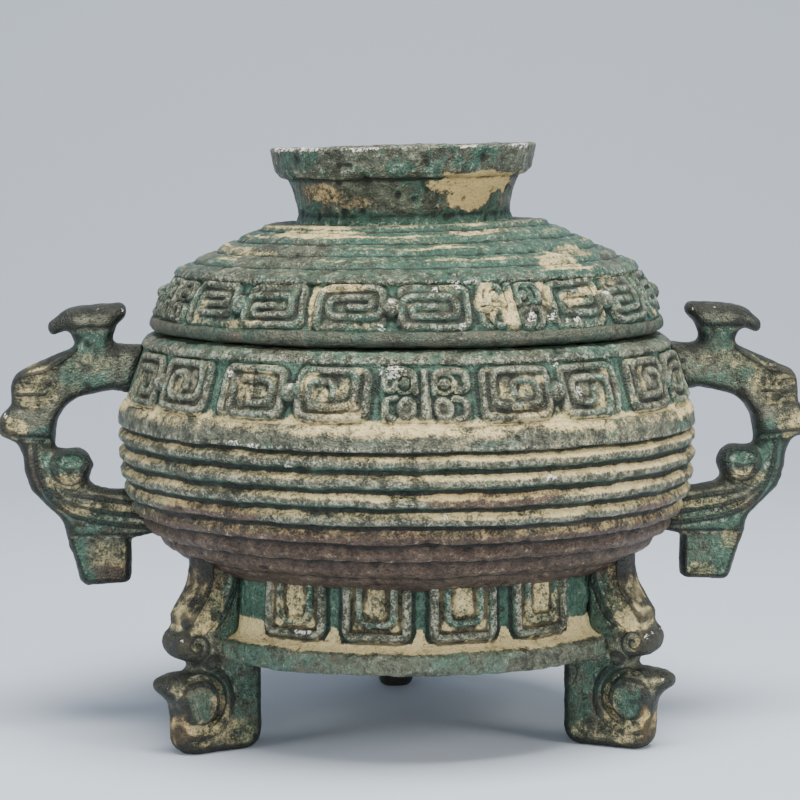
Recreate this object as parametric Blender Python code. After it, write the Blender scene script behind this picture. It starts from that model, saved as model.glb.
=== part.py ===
"""A cast bronze tripod incense burner: a ribbed bowl on a ring foot and three legs, and a loose lid.

Sizes are in metres and angles in degrees. The origin is on the floor under the middle of the bowl.
Azimuth 0 is the front, towards -Y, and azimuth 90 is towards +X.
"""

import math

import bmesh
import bpy
from mathutils import Vector
from mathutils.geometry import delaunay_2d_cdt

SIDES = 30                      # facets round every turned form
WALL = 0.0028                   # thickness of the casting

# Ring foot
FOOT_CLEARANCE = 0.0214         # from the floor to the underside of the ring foot
RING_HEIGHT = 0.0184            # from its underside to where the bowl sits on it
RING_NECK_RADIUS = 0.0488       # where the bowl meets it
RING_WALL_DRAFT = 0.0006        # its wall is this much wider at the foot of its panels
RING_FLANGE_REACH = 0.0042      # the flange stands out this far from the wall
RING_FLANGE_HEIGHT = 0.0046     # height of the upright edge of its flange
RING_FILLET_HEIGHT = 0.0036     # height of the hollow curve between its wall and flange
RING_MOUTH_BEVEL = 0.0012       # round the hollow on its underside
EDGE_DRAFT = 0.0003             # slope of a plain edge

# Bowl
BELLY_RADIUS = 0.0676           # the widest part
BELLY_DEPTH = 0.0350            # from the widest level down to the lowest point outside
BELLY_FULLNESS = 2.6            # 2 gives an ellipse, and more gives a squarer curve
INNER_FLOOR_RADIUS = 0.015      # flat middle of the floor
BAND_HEIGHT = 0.0100            # plain band from the widest level up to the frieze
FRIEZE_INSET = 0.0010           # the foot of the frieze's ground, from the widest part
FRIEZE_LEDGE = 0.0005           # the plain band stands proud of the frieze's ground
FRIEZE_LEAN = 0.0043            # the frieze leans in this much over its height
FRIEZE_HEIGHT = 0.0128
SHOULDER_HEIGHT = 0.0028        # from the frieze up to the seat for the lid
SHOULDER_RUN = 0.0051           # from the frieze in to the seat

# Ribs round the belly
RIB_COUNT = 7
RIB_DEPTH = 0.0009
RIB_START = 0.0043              # first groove, above the widest level
RIB_FOOT_GAP = 0.0024           # plain wall between the last rib and the ring foot
RIB_GROOVE_FLAT = 0.0004        # floor of the first groove
RIB_GROOVE_RUN = 0.0012         # its slope up to the plain band
RIB_PROFILE = ((0.0, 0.0), (0.28, 1.0), (0.68, 1.0))    # share of the pitch, share of the depth

# Upright lip that holds the lid in place
SEAT_WIDTH = 0.0023             # the lip stands in from the seat's outer edge
LIP_WALL = 0.0025
LIP_HEIGHT = 0.0040

# Lid
LID_GAP = 0.0003                # between the two seats
LID_CLEARANCE = 0.0006          # round the lip
LID_OVERHANG = 0.0030           # the widest part of the lid, from the edge of the seat
LID_EDGE_HEIGHT = 0.0023        # from its seat to its widest part
LID_LIP_HEIGHT = 0.0012         # plain lip below the frieze
LID_GROUND_DEPTH = 0.0008       # the frieze's ground lies this far inside the lip and the border
LID_FRIEZE_LEAN = 0.0062        # the frieze leans in this much over its height
LID_FRIEZE_HEIGHT = 0.0102
LID_FRIEZE_BULGE = 0.0006
LID_BORDER_HEIGHT = 0.0018      # plain border above the frieze
STEP_COUNT = 4
STEP_TREAD = 0.0025
STEP_RISER_RUN = 0.0027
STEP_TREAD_RISE = 0.0006
STEP_RISER_RISE = 0.0019
LID_LEAN = 1.3                  # the crown leans this much towards -X, and the rim is level

# Ring knob on the lid
KNOB_LEDGE = 0.0086             # flat of the crown round the knob's neck
KNOB_NECK_HEIGHT = 0.0105
KNOB_NECK_FLARE = 0.0024
KNOB_NECK_FILLET = 0.0012
KNOB_RIM_REACH = 0.0065         # the rim stands out this far from the neck
KNOB_RIM_HEIGHT = 0.0056
KNOB_RIM_TAPER = 0.0010
KNOB_RIM_ROUNDING = 0.0012
KNOB_UNDERCUT = 0.0016          # height of the sloping step under the rim
KNOB_RIM_WALL = 0.0027
KNOB_CUP_FLOOR = 0.0017         # the cup's floor, above the flat of the crown
KNOB_CUP_WALL = 0.0041          # between the cup and the foot of the neck

# Carving
RELIEF = 0.0009
BOSS_RELIEF = 0.0018
BOSS_RADIUS = 0.0016
BAND_HALF_WIDTH = 0.00105       # of the raised lines of a scroll
FRIEZE_MARGIN = 0.0006          # plain line above and below a scroll
MASK_HALF_ANGLE = 8.6           # beast mask on the bowl, at the front and at the back
MASK_NOSE_HALF = 0.0013
MASK_NOSE_GAP = 0.0019          # from the nose to the brow and the jaw beside it
BOWL_UNIT_ANGLE = 31.5          # a pair of scrolls with a boss between
BOWL_UNIT_CENTRES = (26.5, 61.5)
LID_MASK_AZIMUTH = 20.0
LID_MASK_HALF_ANGLE = 7.6
LID_UNIT_ANGLE = 33.6
LID_UNIT_CENTRES = (26.7, 63.3)
BOSS_GAP = 0.0024               # from a boss's centre to the scroll beside it
RING_PANEL_STEP = 24.0
RING_PANEL_ANGLE = 18.5
RING_PANEL_MARGIN = 0.0006
RING_BAR_HALF = 0.0022          # bar in the middle of a panel
RING_BAR_GAP = 0.0024           # from the bar's point to the line below it
RING_BAR_POINT = 0.0010
LEG_AZIMUTHS = (-60.0, 60.0, 180.0)
HANDLE_AZIMUTHS = (-90.0, 90.0)
VESSEL_SEAM = 96.0              # an azimuth that no carving crosses
LID_SEAM = 65.0

# Legs. Reaches are from the edge of the ring foot outwards, and heights from its underside
LEG_HALF_WIDTH = 0.0041
LEG_THICKNESS = 0.0212          # from the back of the shin to its front
LEG_REACH = 0.0094              # front of the shin
LEG_TOE_ROUNDING = 0.0034
LEG_SOLE_ROUNDING = 0.0006
LEG_WAIST = 0.0024              # the shin narrows by this much, each side, above the trunk
HEAD_HALF_WIDTH = 0.0054
HEAD_HALF_DEPTH = 0.0046
HEAD_ROOT_RISE = 0.0038         # the head's root, above the top of the ring foot
HEAD_ROOT_REACH = 0.0050        # middle of the root, from the ring foot's neck outwards
HEAD_LENGTH = 0.0066            # from the root down to where the head swells to the snout
SNOUT_REACH = 0.0068            # middle of the rolled snout
SNOUT_RISE = 0.0040
SNOUT_RADIUS = 0.0037
TRUNK_REACH = 0.0140            # tip of the trunk
TRUNK_DROP = 0.0054
TRUNK_HALF_HEIGHT = 0.0040
TRUNK_TIP_HALF_HEIGHT = 0.0012

# Handles. Reaches are from the widest part of the bowl outwards, or from the upright of the loop
HANDLE_TOP_RISE = 0.0073        # middle of the upper arm, above the foot of the frieze
HANDLE_SPAN = 0.0338            # from the middle of the upper arm to the middle of the lower
HANDLE_REACH = 0.0194           # middle of the upright
HANDLE_ROOT_DEPTH = 0.0015      # how deep an arm is set into the wall
HANDLE_ARM_HALF = 0.0056
HANDLE_SHANK_HALF = 0.0042
HANDLE_HALF_WIDTH = 0.0040
HANDLE_HEAD_HALF_WIDTH = 0.0055
MUZZLE_LENGTH = 0.0092          # from the upright to the tip
MUZZLE_DROP = 0.0131            # below the upper arm
MUZZLE_HALF = 0.0036
CREST_RISE = 0.0132             # above the upper arm
CREST_START = 0.0206            # inner end, from the upright inwards
CREST_TIP = 0.0032              # outer end, from the upright inwards
CREST_TIP_DROP = 0.0047
CREST_HALF = 0.0023
STEM_INSET = 0.0133             # from the upright inwards
STEM_HALF = 0.0041
STEM_SPREAD = 0.0006            # at the stem's foot and head
TONGUE_INSET = 0.0083           # from the upright inwards
TONGUE_RISE = 0.0105            # above the lower arm
TONGUE_RADIUS = 0.0047
TAB_INSET = 0.0218              # its inner side, from the upright inwards
TAB_LENGTH = 0.0170             # from the middle of the lower arm down
TAB_WIDTH = 0.0166              # at its root
TAB_TAPER = 0.0042
TAB_ROUNDING = 0.0012
TAB_HALF_WIDTH = 0.0034

RING_WAIST_RADIUS = RING_NECK_RADIUS + RING_WALL_DRAFT
RING_FLANGE_RADIUS = RING_WAIST_RADIUS + RING_FLANGE_REACH
FRIEZE_BASE_RADIUS = BELLY_RADIUS - FRIEZE_INSET
FRIEZE_TOP_RADIUS = FRIEZE_BASE_RADIUS - FRIEZE_LEAN
SEAT_RADIUS = FRIEZE_TOP_RADIUS - SHOULDER_RUN
LIP_RADIUS = SEAT_RADIUS - SEAT_WIDTH
LID_EDGE_RADIUS = SEAT_RADIUS + LID_OVERHANG
LID_GROUND_RADIUS = LID_EDGE_RADIUS - LID_GROUND_DEPTH
LID_FRIEZE_TOP_RADIUS = LID_EDGE_RADIUS - LID_FRIEZE_LEAN
CROWN_RADIUS = LID_FRIEZE_TOP_RADIUS - STEP_COUNT * (STEP_TREAD + STEP_RISER_RUN)
KNOB_NECK_RADIUS = CROWN_RADIUS - KNOB_LEDGE
KNOB_RIM_RADIUS = KNOB_NECK_RADIUS + KNOB_RIM_REACH


def belly_drop(radius, width=BELLY_RADIUS, depth=BELLY_DEPTH):
    """How far the belly's curve lies below its widest level at this radius."""
    return depth * (1 - (radius / width) ** BELLY_FULLNESS) ** (1 / BELLY_FULLNESS)


def belly_radius(drop, width=BELLY_RADIUS, depth=BELLY_DEPTH):
    """The radius of the belly's curve this far below its widest level."""
    return width * (1 - (drop / depth) ** BELLY_FULLNESS) ** (1 / BELLY_FULLNESS)


RING_UNDERSIDE_Z = FOOT_CLEARANCE
RING_TOP_Z = FOOT_CLEARANCE + RING_HEIGHT
BELLY_Z = RING_TOP_Z + belly_drop(RING_NECK_RADIUS)
RIB_PITCH = (BELLY_Z + RIB_START - RIB_FOOT_GAP - RING_TOP_Z) / RIB_COUNT
FRIEZE_Z = BELLY_Z + BAND_HEIGHT
SEAT_Z = FRIEZE_Z + FRIEZE_HEIGHT + SHOULDER_HEIGHT
LID_Z = SEAT_Z + LID_GAP
LID_EDGE_Z = LID_Z + LID_EDGE_HEIGHT
LID_FRIEZE_Z = LID_EDGE_Z + LID_LIP_HEIGHT
LID_SHOULDER_Z = LID_FRIEZE_Z + LID_FRIEZE_HEIGHT + LID_BORDER_HEIGHT
CROWN_Z = LID_SHOULDER_Z + STEP_COUNT * (STEP_TREAD_RISE + STEP_RISER_RISE)
KNOB_TOP_Z = CROWN_Z + KNOB_NECK_HEIGHT + KNOB_UNDERCUT + KNOB_RIM_HEIGHT


def place(azimuth, radius, height):
    """The point at an azimuth, a distance from the axis and a height."""
    turn = math.radians(azimuth)
    return Vector((radius * math.sin(turn), -radius * math.cos(turn), height))


class Band:
    """The strip of surface between two rings, unrolled: azimuth across, distance from the lower ring up."""

    def __init__(self, lower, upper, bulge=0.0):
        self.lower = Vector(lower)
        self.rise = Vector(upper) - self.lower
        self.length = self.rise.length
        self.out = Vector((self.rise.y, -self.rise.x)).normalized()
        self.bulge = bulge
        self.mid_radius = (lower[0] + upper[0]) / 2

    def point(self, azimuth, up, lift=0.0):
        share = up / self.length
        spot = self.lower + self.rise * share
        spot += self.out * (self.bulge * 4 * share * (1 - share) + lift)
        return place(azimuth, spot.x, spot.y)


def thick_line(path, half):
    """The outline of a raised line of constant width along a path, with mitred corners."""
    left, right = [], []
    for index, spot in enumerate(path):
        back = (spot - path[index - 1]).normalized() if index else None
        ahead = (path[index + 1] - spot).normalized() if index + 1 < len(path) else None
        back = back or ahead
        ahead = ahead or back
        along = (back + ahead).normalized()
        side = Vector((-along.y, along.x))
        reach = half / max(0.5, side.dot(Vector((-back.y, back.x))))
        left.append(spot + side * reach)
        right.append(spot - side * reach)
    return left + right[::-1]


def with_middles(path, longest):
    """The path with extra points where a stretch is longer than allowed, so that it follows the curve."""
    result = [path[0]]
    for start, end in zip(path, path[1:]):
        pieces = math.ceil((end - start).length / longest)
        result += [start.lerp(end, step / pieces) for step in range(1, pieces + 1)]
    return result


def scroll(centre, half_width, half_height, facing, turned):
    """A squared scroll that opens beside its boss, as an outline in metres on the unrolled strip.

    facing is 1 where the boss is on the right, and turned puts the scroll upside down.
    """
    across = half_width - BAND_HALF_WIDTH
    up = half_height - BAND_HALF_WIDTH
    corners = ((across, up), (-across, up), (-across, -up), (across, -up), (across, 0.1 * up),
               (-0.3 * across, 0.1 * up))
    flip = -1 if turned else 1
    path = [centre + Vector((facing * x, flip * y)) for x, y in corners]
    return thick_line(path, BAND_HALF_WIDTH)


def round_outline(centre, radius, count):
    turns = [2 * math.pi * index / count for index in range(count)]
    return [centre + radius * Vector((math.cos(turn), math.sin(turn))) for turn in turns]


def unit(strip, azimuth, angle, lid_style):
    """A boss between two scrolls. On the lid the second scroll is turned round, which makes a lying S."""
    middle = Vector((math.radians(azimuth) * strip.mid_radius, strip.length / 2))
    half = math.radians(angle) * strip.mid_radius / 2
    half_width = (half - BOSS_GAP) / 2
    offset = Vector((BOSS_GAP + half_width, 0))
    half_height = strip.length / 2 - FRIEZE_MARGIN
    return [
        (scroll(middle - offset, half_width, half_height, 1, False), RELIEF),
        (scroll(middle + offset, half_width, half_height, -1, lid_style), RELIEF),
        (round_outline(middle, BOSS_RADIUS, 6), BOSS_RELIEF),
    ]


def mask(strip, azimuth, half_angle, eyes):
    """A beast's face: a nose ridge, a bracket of brow and jaw on each side, and round eyes."""
    middle = Vector((math.radians(azimuth) * strip.mid_radius, strip.length / 2))
    across = math.radians(half_angle) * strip.mid_radius - BAND_HALF_WIDTH
    up = strip.length / 2 - FRIEZE_MARGIN - BAND_HALF_WIDTH
    foot = MASK_NOSE_HALF
    nose = [(-foot / 2, up), (-foot, -up), (foot, -up), (foot / 2, up)]
    shapes = [([middle + Vector(spot) for spot in nose], BOSS_RELIEF)]
    for side in (-1, 1):
        start = MASK_NOSE_HALF + MASK_NOSE_GAP
        bracket = [(start, up), (across, up), (across, -up), (start, -up)]
        path = [middle + Vector((side * x, y)) for x, y in bracket]
        shapes.append((thick_line(path, BAND_HALF_WIDTH), RELIEF))
        if eyes:
            spot = middle + Vector((side * 0.44 * across, 0.15 * up))
            shapes.append((round_outline(spot, BOSS_RADIUS * 0.8, 6), BOSS_RELIEF))
    return shapes


def panel(strip, azimuth):
    """A ring foot panel: a raised line down both sides and across below, round a bar that tapers."""
    middle = math.radians(azimuth) * strip.mid_radius
    half = math.radians(RING_PANEL_ANGLE) * strip.mid_radius / 2 - BAND_HALF_WIDTH
    low = RING_PANEL_MARGIN + BAND_HALF_WIDTH
    top = strip.length - RING_PANEL_MARGIN
    frame = [Vector((middle + x, y)) for x, y in ((-half, top), (-half, low), (half, low), (half, top))]
    point = low + RING_BAR_GAP
    shoulder = point + RING_BAR_POINT
    bar = [(-RING_BAR_HALF, top), (-RING_BAR_HALF, shoulder), (0.0, point), (RING_BAR_HALF, shoulder),
           (RING_BAR_HALF, top)]
    return [
        (thick_line(with_middles(frame, half), BAND_HALF_WIDTH), RELIEF),
        ([Vector((middle + x, y)) for x, y in bar], RELIEF),
    ]


def bowl_frieze(strip):
    shapes = []
    for front in (0.0, 180.0):
        shapes += mask(strip, front, MASK_HALF_ANGLE, eyes=True)
        for side in (-1, 1):
            for offset in BOWL_UNIT_CENTRES:
                shapes += unit(strip, front + side * offset, BOWL_UNIT_ANGLE, lid_style=False)
    return shapes


def lid_frieze(strip):
    shapes = []
    for quarter in range(4):
        azimuth = LID_MASK_AZIMUTH + 90.0 * quarter
        shapes += mask(strip, azimuth, LID_MASK_HALF_ANGLE, eyes=False)
        for offset in LID_UNIT_CENTRES:
            shapes += unit(strip, azimuth + offset, LID_UNIT_ANGLE, lid_style=True)
    return shapes


def ring_panels(strip):
    shapes = []
    for index in range(round(360 / RING_PANEL_STEP)):
        azimuth = LEG_AZIMUTHS[0] + index * RING_PANEL_STEP
        if not any(abs((azimuth - leg + 180) % 360 - 180) < RING_PANEL_STEP / 2 for leg in LEG_AZIMUTHS):
            shapes += panel(strip, azimuth)
    return shapes


def wrap(spot, strip, seam):
    """Moves a spot on the unrolled strip by whole turns until it lies in the turn that starts at the seam."""
    turn = 2 * math.pi * strip.mid_radius
    start = math.radians(seam) * strip.mid_radius
    return (spot - start) % turn + start


def anticlockwise(outline):
    area = sum(here.cross(there) for here, there in zip(outline, outline[1:] + outline[:1]))
    return outline if area > 0 else outline[::-1]


def carve(mesh, strip, lower_ring, upper_ring, shapes, seam):
    """Fills the strip between two rings with its ground and with raised shapes standing on it."""
    step = 2 * math.pi / SIDES
    start = math.radians(seam)
    across = [(start + index * step) * strip.mid_radius for index in range(SIDES + 1)]
    flat = [Vector((x, 0.0)) for x in across] + [Vector((x, strip.length)) for x in reversed(across)]
    loops = [list(range(len(flat)))]
    ground = [lower_ring[index % SIDES] for index in range(SIDES + 1)]
    ground += [upper_ring[index % SIDES] for index in range(SIDES, -1, -1)]
    lifts = [0.0] * len(flat)
    for shape, lift in shapes:
        outline = anticlockwise(shape)
        shift = wrap(outline[0].x, strip, seam) - outline[0].x
        loops.append(list(range(len(flat), len(flat) + len(outline))))
        flat += [spot + Vector((shift, 0.0)) for spot in outline]
        lifts += [lift] * len(outline)
    raised = list(ground)
    for spot, lift in zip(flat[len(ground):], lifts[len(ground):]):
        azimuth = math.degrees(spot.x / strip.mid_radius)
        ground.append(mesh.verts.new(strip.point(azimuth, spot.y)))
        raised.append(mesh.verts.new(strip.point(azimuth, spot.y, lift)))
    made = delaunay_2d_cdt(flat, [], loops, 1, 1e-7)
    source = [originals[0] for originals in made[3]]
    for face, owners in zip(made[2], made[5]):
        level = raised if max(owners) > 0 else ground
        mesh.faces.new([level[source[index]] for index in face])
    for loop in loops[1:]:
        for here, there in zip(loop, loop[1:] + loop[:1]):
            mesh.faces.new([ground[here], ground[there], raised[there], raised[here]])


def turned_form(name, profile, bands, seam, shift=None):
    """Turns a profile of (radius, height) points round the axis, and closes both its ends with a disc.

    bands gives, for the index of a profile point, the carving between it and the next one.
    """
    mesh = bmesh.new()
    rings = []
    for radius, height in profile:
        azimuths = [seam + 360.0 * index / SIDES for index in range(SIDES)]
        rings.append([mesh.verts.new(place(azimuth, radius, height)) for azimuth in azimuths])
    for index, (ring, following) in enumerate(zip(rings, rings[1:])):
        if index in bands:
            carving, bulge = bands[index]
            low, high = sorted((index, index + 1), key=lambda spot: profile[spot][1])
            strip = Band(profile[low], profile[high], bulge)
            carve(mesh, strip, rings[low], rings[high], carving(strip), seam)
            continue
        for side in range(SIDES):
            beside = (side + 1) % SIDES
            mesh.faces.new([ring[side], ring[beside], following[beside], following[side]])
    mesh.faces.new(rings[0])
    mesh.faces.new(rings[-1])
    if shift:
        for vert in mesh.verts:
            vert.co = shift(vert.co)
    bmesh.ops.recalc_face_normals(mesh, faces=mesh.faces)
    return solid(name, mesh)


def solid(name, mesh):
    data = bpy.data.meshes.new(name)
    mesh.to_mesh(data)
    mesh.free()
    data.shade_smooth()
    data.set_sharp_from_angle(angle=math.radians(35))
    piece = bpy.data.objects.new(name, data)
    bpy.context.scene.collection.objects.link(piece)
    return piece


def section(half_height, half_width):
    """A six-sided section: flat above and below, with a ridge along each flank."""
    flat = 0.62 * half_width
    return [(half_height, -flat), (half_height, flat), (0.0, half_width),
            (-half_height, flat), (-half_height, -flat), (0.0, -half_width)]


def limb(name, azimuth, stations):
    """A limb in the upright plane at an azimuth.

    Each station is a distance from the axis, a height, and half the height and width of the section there.
    """
    mesh = bmesh.new()
    spots = [Vector(station[:2]) for station in stations]
    turn = math.radians(azimuth)
    sideways = Vector((math.cos(turn), math.sin(turn), 0.0))
    rings = []
    for index, station in enumerate(stations):
        along = (spots[min(index + 1, len(spots) - 1)] - spots[max(index - 1, 0)]).normalized()
        across = Vector((-along.y, along.x))
        ring = []
        for up, side in section(station[2], station[3]):
            spot = spots[index] + across * up
            ring.append(mesh.verts.new(place(azimuth, spot.x, spot.y) + sideways * side))
        rings.append(ring)
    for ring, following in zip(rings, rings[1:]):
        for side in range(len(ring)):
            beside = (side + 1) % len(ring)
            mesh.faces.new([ring[side], ring[beside], following[beside], following[side]])
    mesh.faces.new(rings[0])
    mesh.faces.new(rings[-1])
    bmesh.ops.recalc_face_normals(mesh, faces=mesh.faces)
    return solid(name, mesh)


def roll(name, azimuth, reach, height, radius, half_width):
    """A short round bar lying across the plane of a limb."""
    mesh = bmesh.new()
    turn = math.radians(azimuth)
    sideways = Vector((math.cos(turn), math.sin(turn), 0.0))
    rings = []
    for share, side in ((0.72, -1.0), (1.0, -0.7), (1.0, 0.7), (0.72, 1.0)):
        outline = round_outline(Vector((reach, height)), radius * share, 8)
        rings.append([mesh.verts.new(place(azimuth, spot.x, spot.y) + sideways * side * half_width)
                      for spot in outline])
    for ring, following in zip(rings, rings[1:]):
        for side in range(len(ring)):
            beside = (side + 1) % len(ring)
            mesh.faces.new([ring[side], ring[beside], following[beside], following[side]])
    mesh.faces.new(rings[0])
    mesh.faces.new(rings[-1])
    bmesh.ops.recalc_face_normals(mesh, faces=mesh.faces)
    return solid(name, mesh)


def leg(azimuth):
    """A beast's head under the bowl, its rolled snout, and the leg that curls out like a trunk below it."""
    front = RING_FLANGE_RADIUS + LEG_REACH
    half = LEG_THICKNESS / 2
    middle = front - half
    width, head = LEG_HALF_WIDTH, HEAD_HALF_WIDTH
    trunk_reach = RING_FLANGE_RADIUS + TRUNK_REACH
    trunk_height = RING_UNDERSIDE_Z - TRUNK_DROP
    snout_reach = RING_FLANGE_RADIUS + SNOUT_REACH
    snout_height = RING_UNDERSIDE_Z + SNOUT_RISE
    waist = middle - LEG_WAIST
    shin = [
        (middle, 0.0, half - LEG_TOE_ROUNDING, width - LEG_SOLE_ROUNDING),
        (middle, 0.35 * LEG_TOE_ROUNDING, half - 0.35 * LEG_TOE_ROUNDING, width),
        (middle, LEG_TOE_ROUNDING, half, width),
        (middle, trunk_height - TRUNK_HALF_HEIGHT, half, width),
        (waist, trunk_height + 0.7 * TRUNK_HALF_HEIGHT, half - LEG_WAIST, width),
        (waist, RING_UNDERSIDE_Z + 0.6 * RING_FLANGE_HEIGHT, half - LEG_WAIST, width),
    ]
    root = (RING_NECK_RADIUS + HEAD_ROOT_REACH, RING_TOP_Z + HEAD_ROOT_RISE)
    brow = (root[0] - 0.25 * HEAD_HALF_DEPTH, root[1] - HEAD_LENGTH)
    cheek = (snout_reach - 0.8 * SNOUT_RADIUS, snout_height + 0.8 * SNOUT_RADIUS)
    face = [
        (*root, 0.57 * HEAD_HALF_DEPTH, 0.85 * head),
        (*brow, HEAD_HALF_DEPTH, 0.9 * head),
        ((brow[0] + cheek[0]) / 2, (brow[1] + cheek[1]) / 2, 1.17 * HEAD_HALF_DEPTH, head),
        (*cheek, 1.13 * HEAD_HALF_DEPTH, head),
        (snout_reach - SNOUT_RADIUS, snout_height - 1.2 * SNOUT_RADIUS, 0.87 * HEAD_HALF_DEPTH, width),
    ]
    trunk = [
        (middle, trunk_height - 0.8 * TRUNK_HALF_HEIGHT, TRUNK_HALF_HEIGHT, 0.93 * width),
        (front, trunk_height - 0.3 * TRUNK_HALF_HEIGHT, 0.95 * TRUNK_HALF_HEIGHT, 0.93 * width),
        ((front + 2 * trunk_reach) / 3, trunk_height, 2 * TRUNK_TIP_HALF_HEIGHT, 0.85 * width),
        (trunk_reach, trunk_height, TRUNK_TIP_HALF_HEIGHT, 0.65 * width),
    ]
    return [
        limb("leg_shin", azimuth, shin),
        limb("leg_head", azimuth, face),
        limb("leg_trunk", azimuth, trunk),
        roll("leg_snout", azimuth, snout_reach, snout_height, SNOUT_RADIUS, head),
    ]


def wall_radius(height):
    """The outside radius of the bowl at a height."""
    if height < BELLY_Z:
        return belly_radius(BELLY_Z - height)
    share = max(0.0, height - FRIEZE_Z) / FRIEZE_HEIGHT
    return FRIEZE_BASE_RADIUS - FRIEZE_LEAN * share


def handle_loop():
    """The loop from the upper arm's root round to the lower arm's.

    Each row is the share of the way out from the wall, the share of the way down, and the section.
    """
    top = FRIEZE_Z + HANDLE_TOP_RISE
    reach = BELLY_RADIUS + HANDLE_REACH
    arm, shank = HANDLE_ARM_HALF, HANDLE_SHANK_HALF
    width, head = HANDLE_HALF_WIDTH, HANDLE_HEAD_HALF_WIDTH
    upper = [
        (0.0, 0.0, arm, width),
        (0.34, 0.003, arm, 1.15 * width),
        (0.71, 0.04, 1.07 * arm, head),
        (0.97, 0.125, 1.14 * arm, head),
        (1.02, 0.28, 0.98 * arm, head),
        (1.0, 0.42, 0.82 * arm, 0.91 * head),
    ]
    lower = [
        (0.97, 0.58, shank, width),
        (0.94, 0.75, shank, width),
        (0.81, 0.89, shank, width),
        (0.60, 0.97, 1.15 * shank, width),
        (0.31, 0.995, 0.95 * arm, width),
        (0.0, 1.0, 0.95 * arm, width),
    ]
    stations = []
    for rows, level in ((upper, top), (lower, top - HANDLE_SPAN)):
        root = wall_radius(level) - HANDLE_ROOT_DEPTH
        for out, down, thick, wide in rows:
            stations.append((root + out * (reach - root), top - down * HANDLE_SPAN, thick, wide))
    return stations


def handle(azimuth):
    """A looped beast: two arms into the wall, a muzzle outside, a crest above, and a curled tongue inside."""
    width, head = HANDLE_HALF_WIDTH, HANDLE_HEAD_HALF_WIDTH
    reach = BELLY_RADIUS + HANDLE_REACH
    top = FRIEZE_Z + HANDLE_TOP_RISE
    bottom = top - HANDLE_SPAN
    nose = reach + MUZZLE_LENGTH
    nose_height = top - MUZZLE_DROP
    muzzle = [
        (reach, nose_height + 0.4 * MUZZLE_HALF, 1.3 * MUZZLE_HALF, head),
        (reach + 0.63 * MUZZLE_LENGTH, nose_height + 0.2 * MUZZLE_HALF, 1.1 * MUZZLE_HALF, head),
        (reach + 0.89 * MUZZLE_LENGTH, nose_height, MUZZLE_HALF, 0.85 * head),
        (nose, nose_height, 0.67 * MUZZLE_HALF, 0.67 * head),
    ]
    stem_reach = reach - STEM_INSET
    crest_height = top + CREST_RISE
    crest_start = reach - CREST_START
    crest_end = reach - CREST_TIP
    crest = [
        (crest_start, crest_height + 0.25 * CREST_HALF, 0.57 * CREST_HALF, 0.78 * head),
        ((2 * crest_start + stem_reach) / 3, crest_height, CREST_HALF, head),
        ((2 * stem_reach + crest_end) / 3, crest_height - 0.15 * CREST_TIP_DROP, 1.09 * CREST_HALF, head),
        ((stem_reach + 2 * crest_end) / 3, crest_height - 0.55 * CREST_TIP_DROP, 0.87 * CREST_HALF,
         0.85 * head),
        (crest_end, crest_height - CREST_TIP_DROP, 0.43 * CREST_HALF, 0.6 * head),
    ]
    stem = [
        (stem_reach, top, STEM_HALF + STEM_SPREAD, width + STEM_SPREAD),
        (stem_reach, top + (HANDLE_ARM_HALF + CREST_RISE) / 2, STEM_HALF, width),
        (stem_reach, crest_height, STEM_HALF + STEM_SPREAD, width + STEM_SPREAD),
    ]
    tab_start = reach - TAB_INSET
    tab_foot = bottom - TAB_LENGTH
    tab_middle = tab_start + (TAB_WIDTH - TAB_TAPER) / 2
    tab_half = (TAB_WIDTH - TAB_TAPER) / 2
    tab = [
        (tab_start + TAB_WIDTH / 2, bottom, TAB_WIDTH / 2, TAB_HALF_WIDTH),
        (tab_middle, tab_foot + TAB_ROUNDING, tab_half, TAB_HALF_WIDTH),
        (tab_middle, tab_foot, tab_half - TAB_ROUNDING, 0.75 * TAB_HALF_WIDTH),
    ]
    tongue_reach = reach - TONGUE_INSET
    return [
        limb("handle_loop", azimuth, handle_loop()),
        limb("handle_muzzle", azimuth, muzzle),
        limb("handle_crest", azimuth, crest),
        limb("handle_stem", azimuth, stem),
        limb("handle_tab", azimuth, tab),
        roll("handle_tongue", azimuth, tongue_reach, bottom + TONGUE_RISE, TONGUE_RADIUS, width),
    ]


def belly_profile():
    """The ribs round the belly, from the lowest up."""
    points = []
    for rib in range(RIB_COUNT):
        for share, rise in RIB_PROFILE:
            height = BELLY_Z + RIB_START - (rib + share) * RIB_PITCH
            radius = wall_radius(height) if height < BELLY_Z else BELLY_RADIUS
            points.append((radius - RIB_DEPTH * (1 - rise), height))
    return points[::-1]


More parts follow.
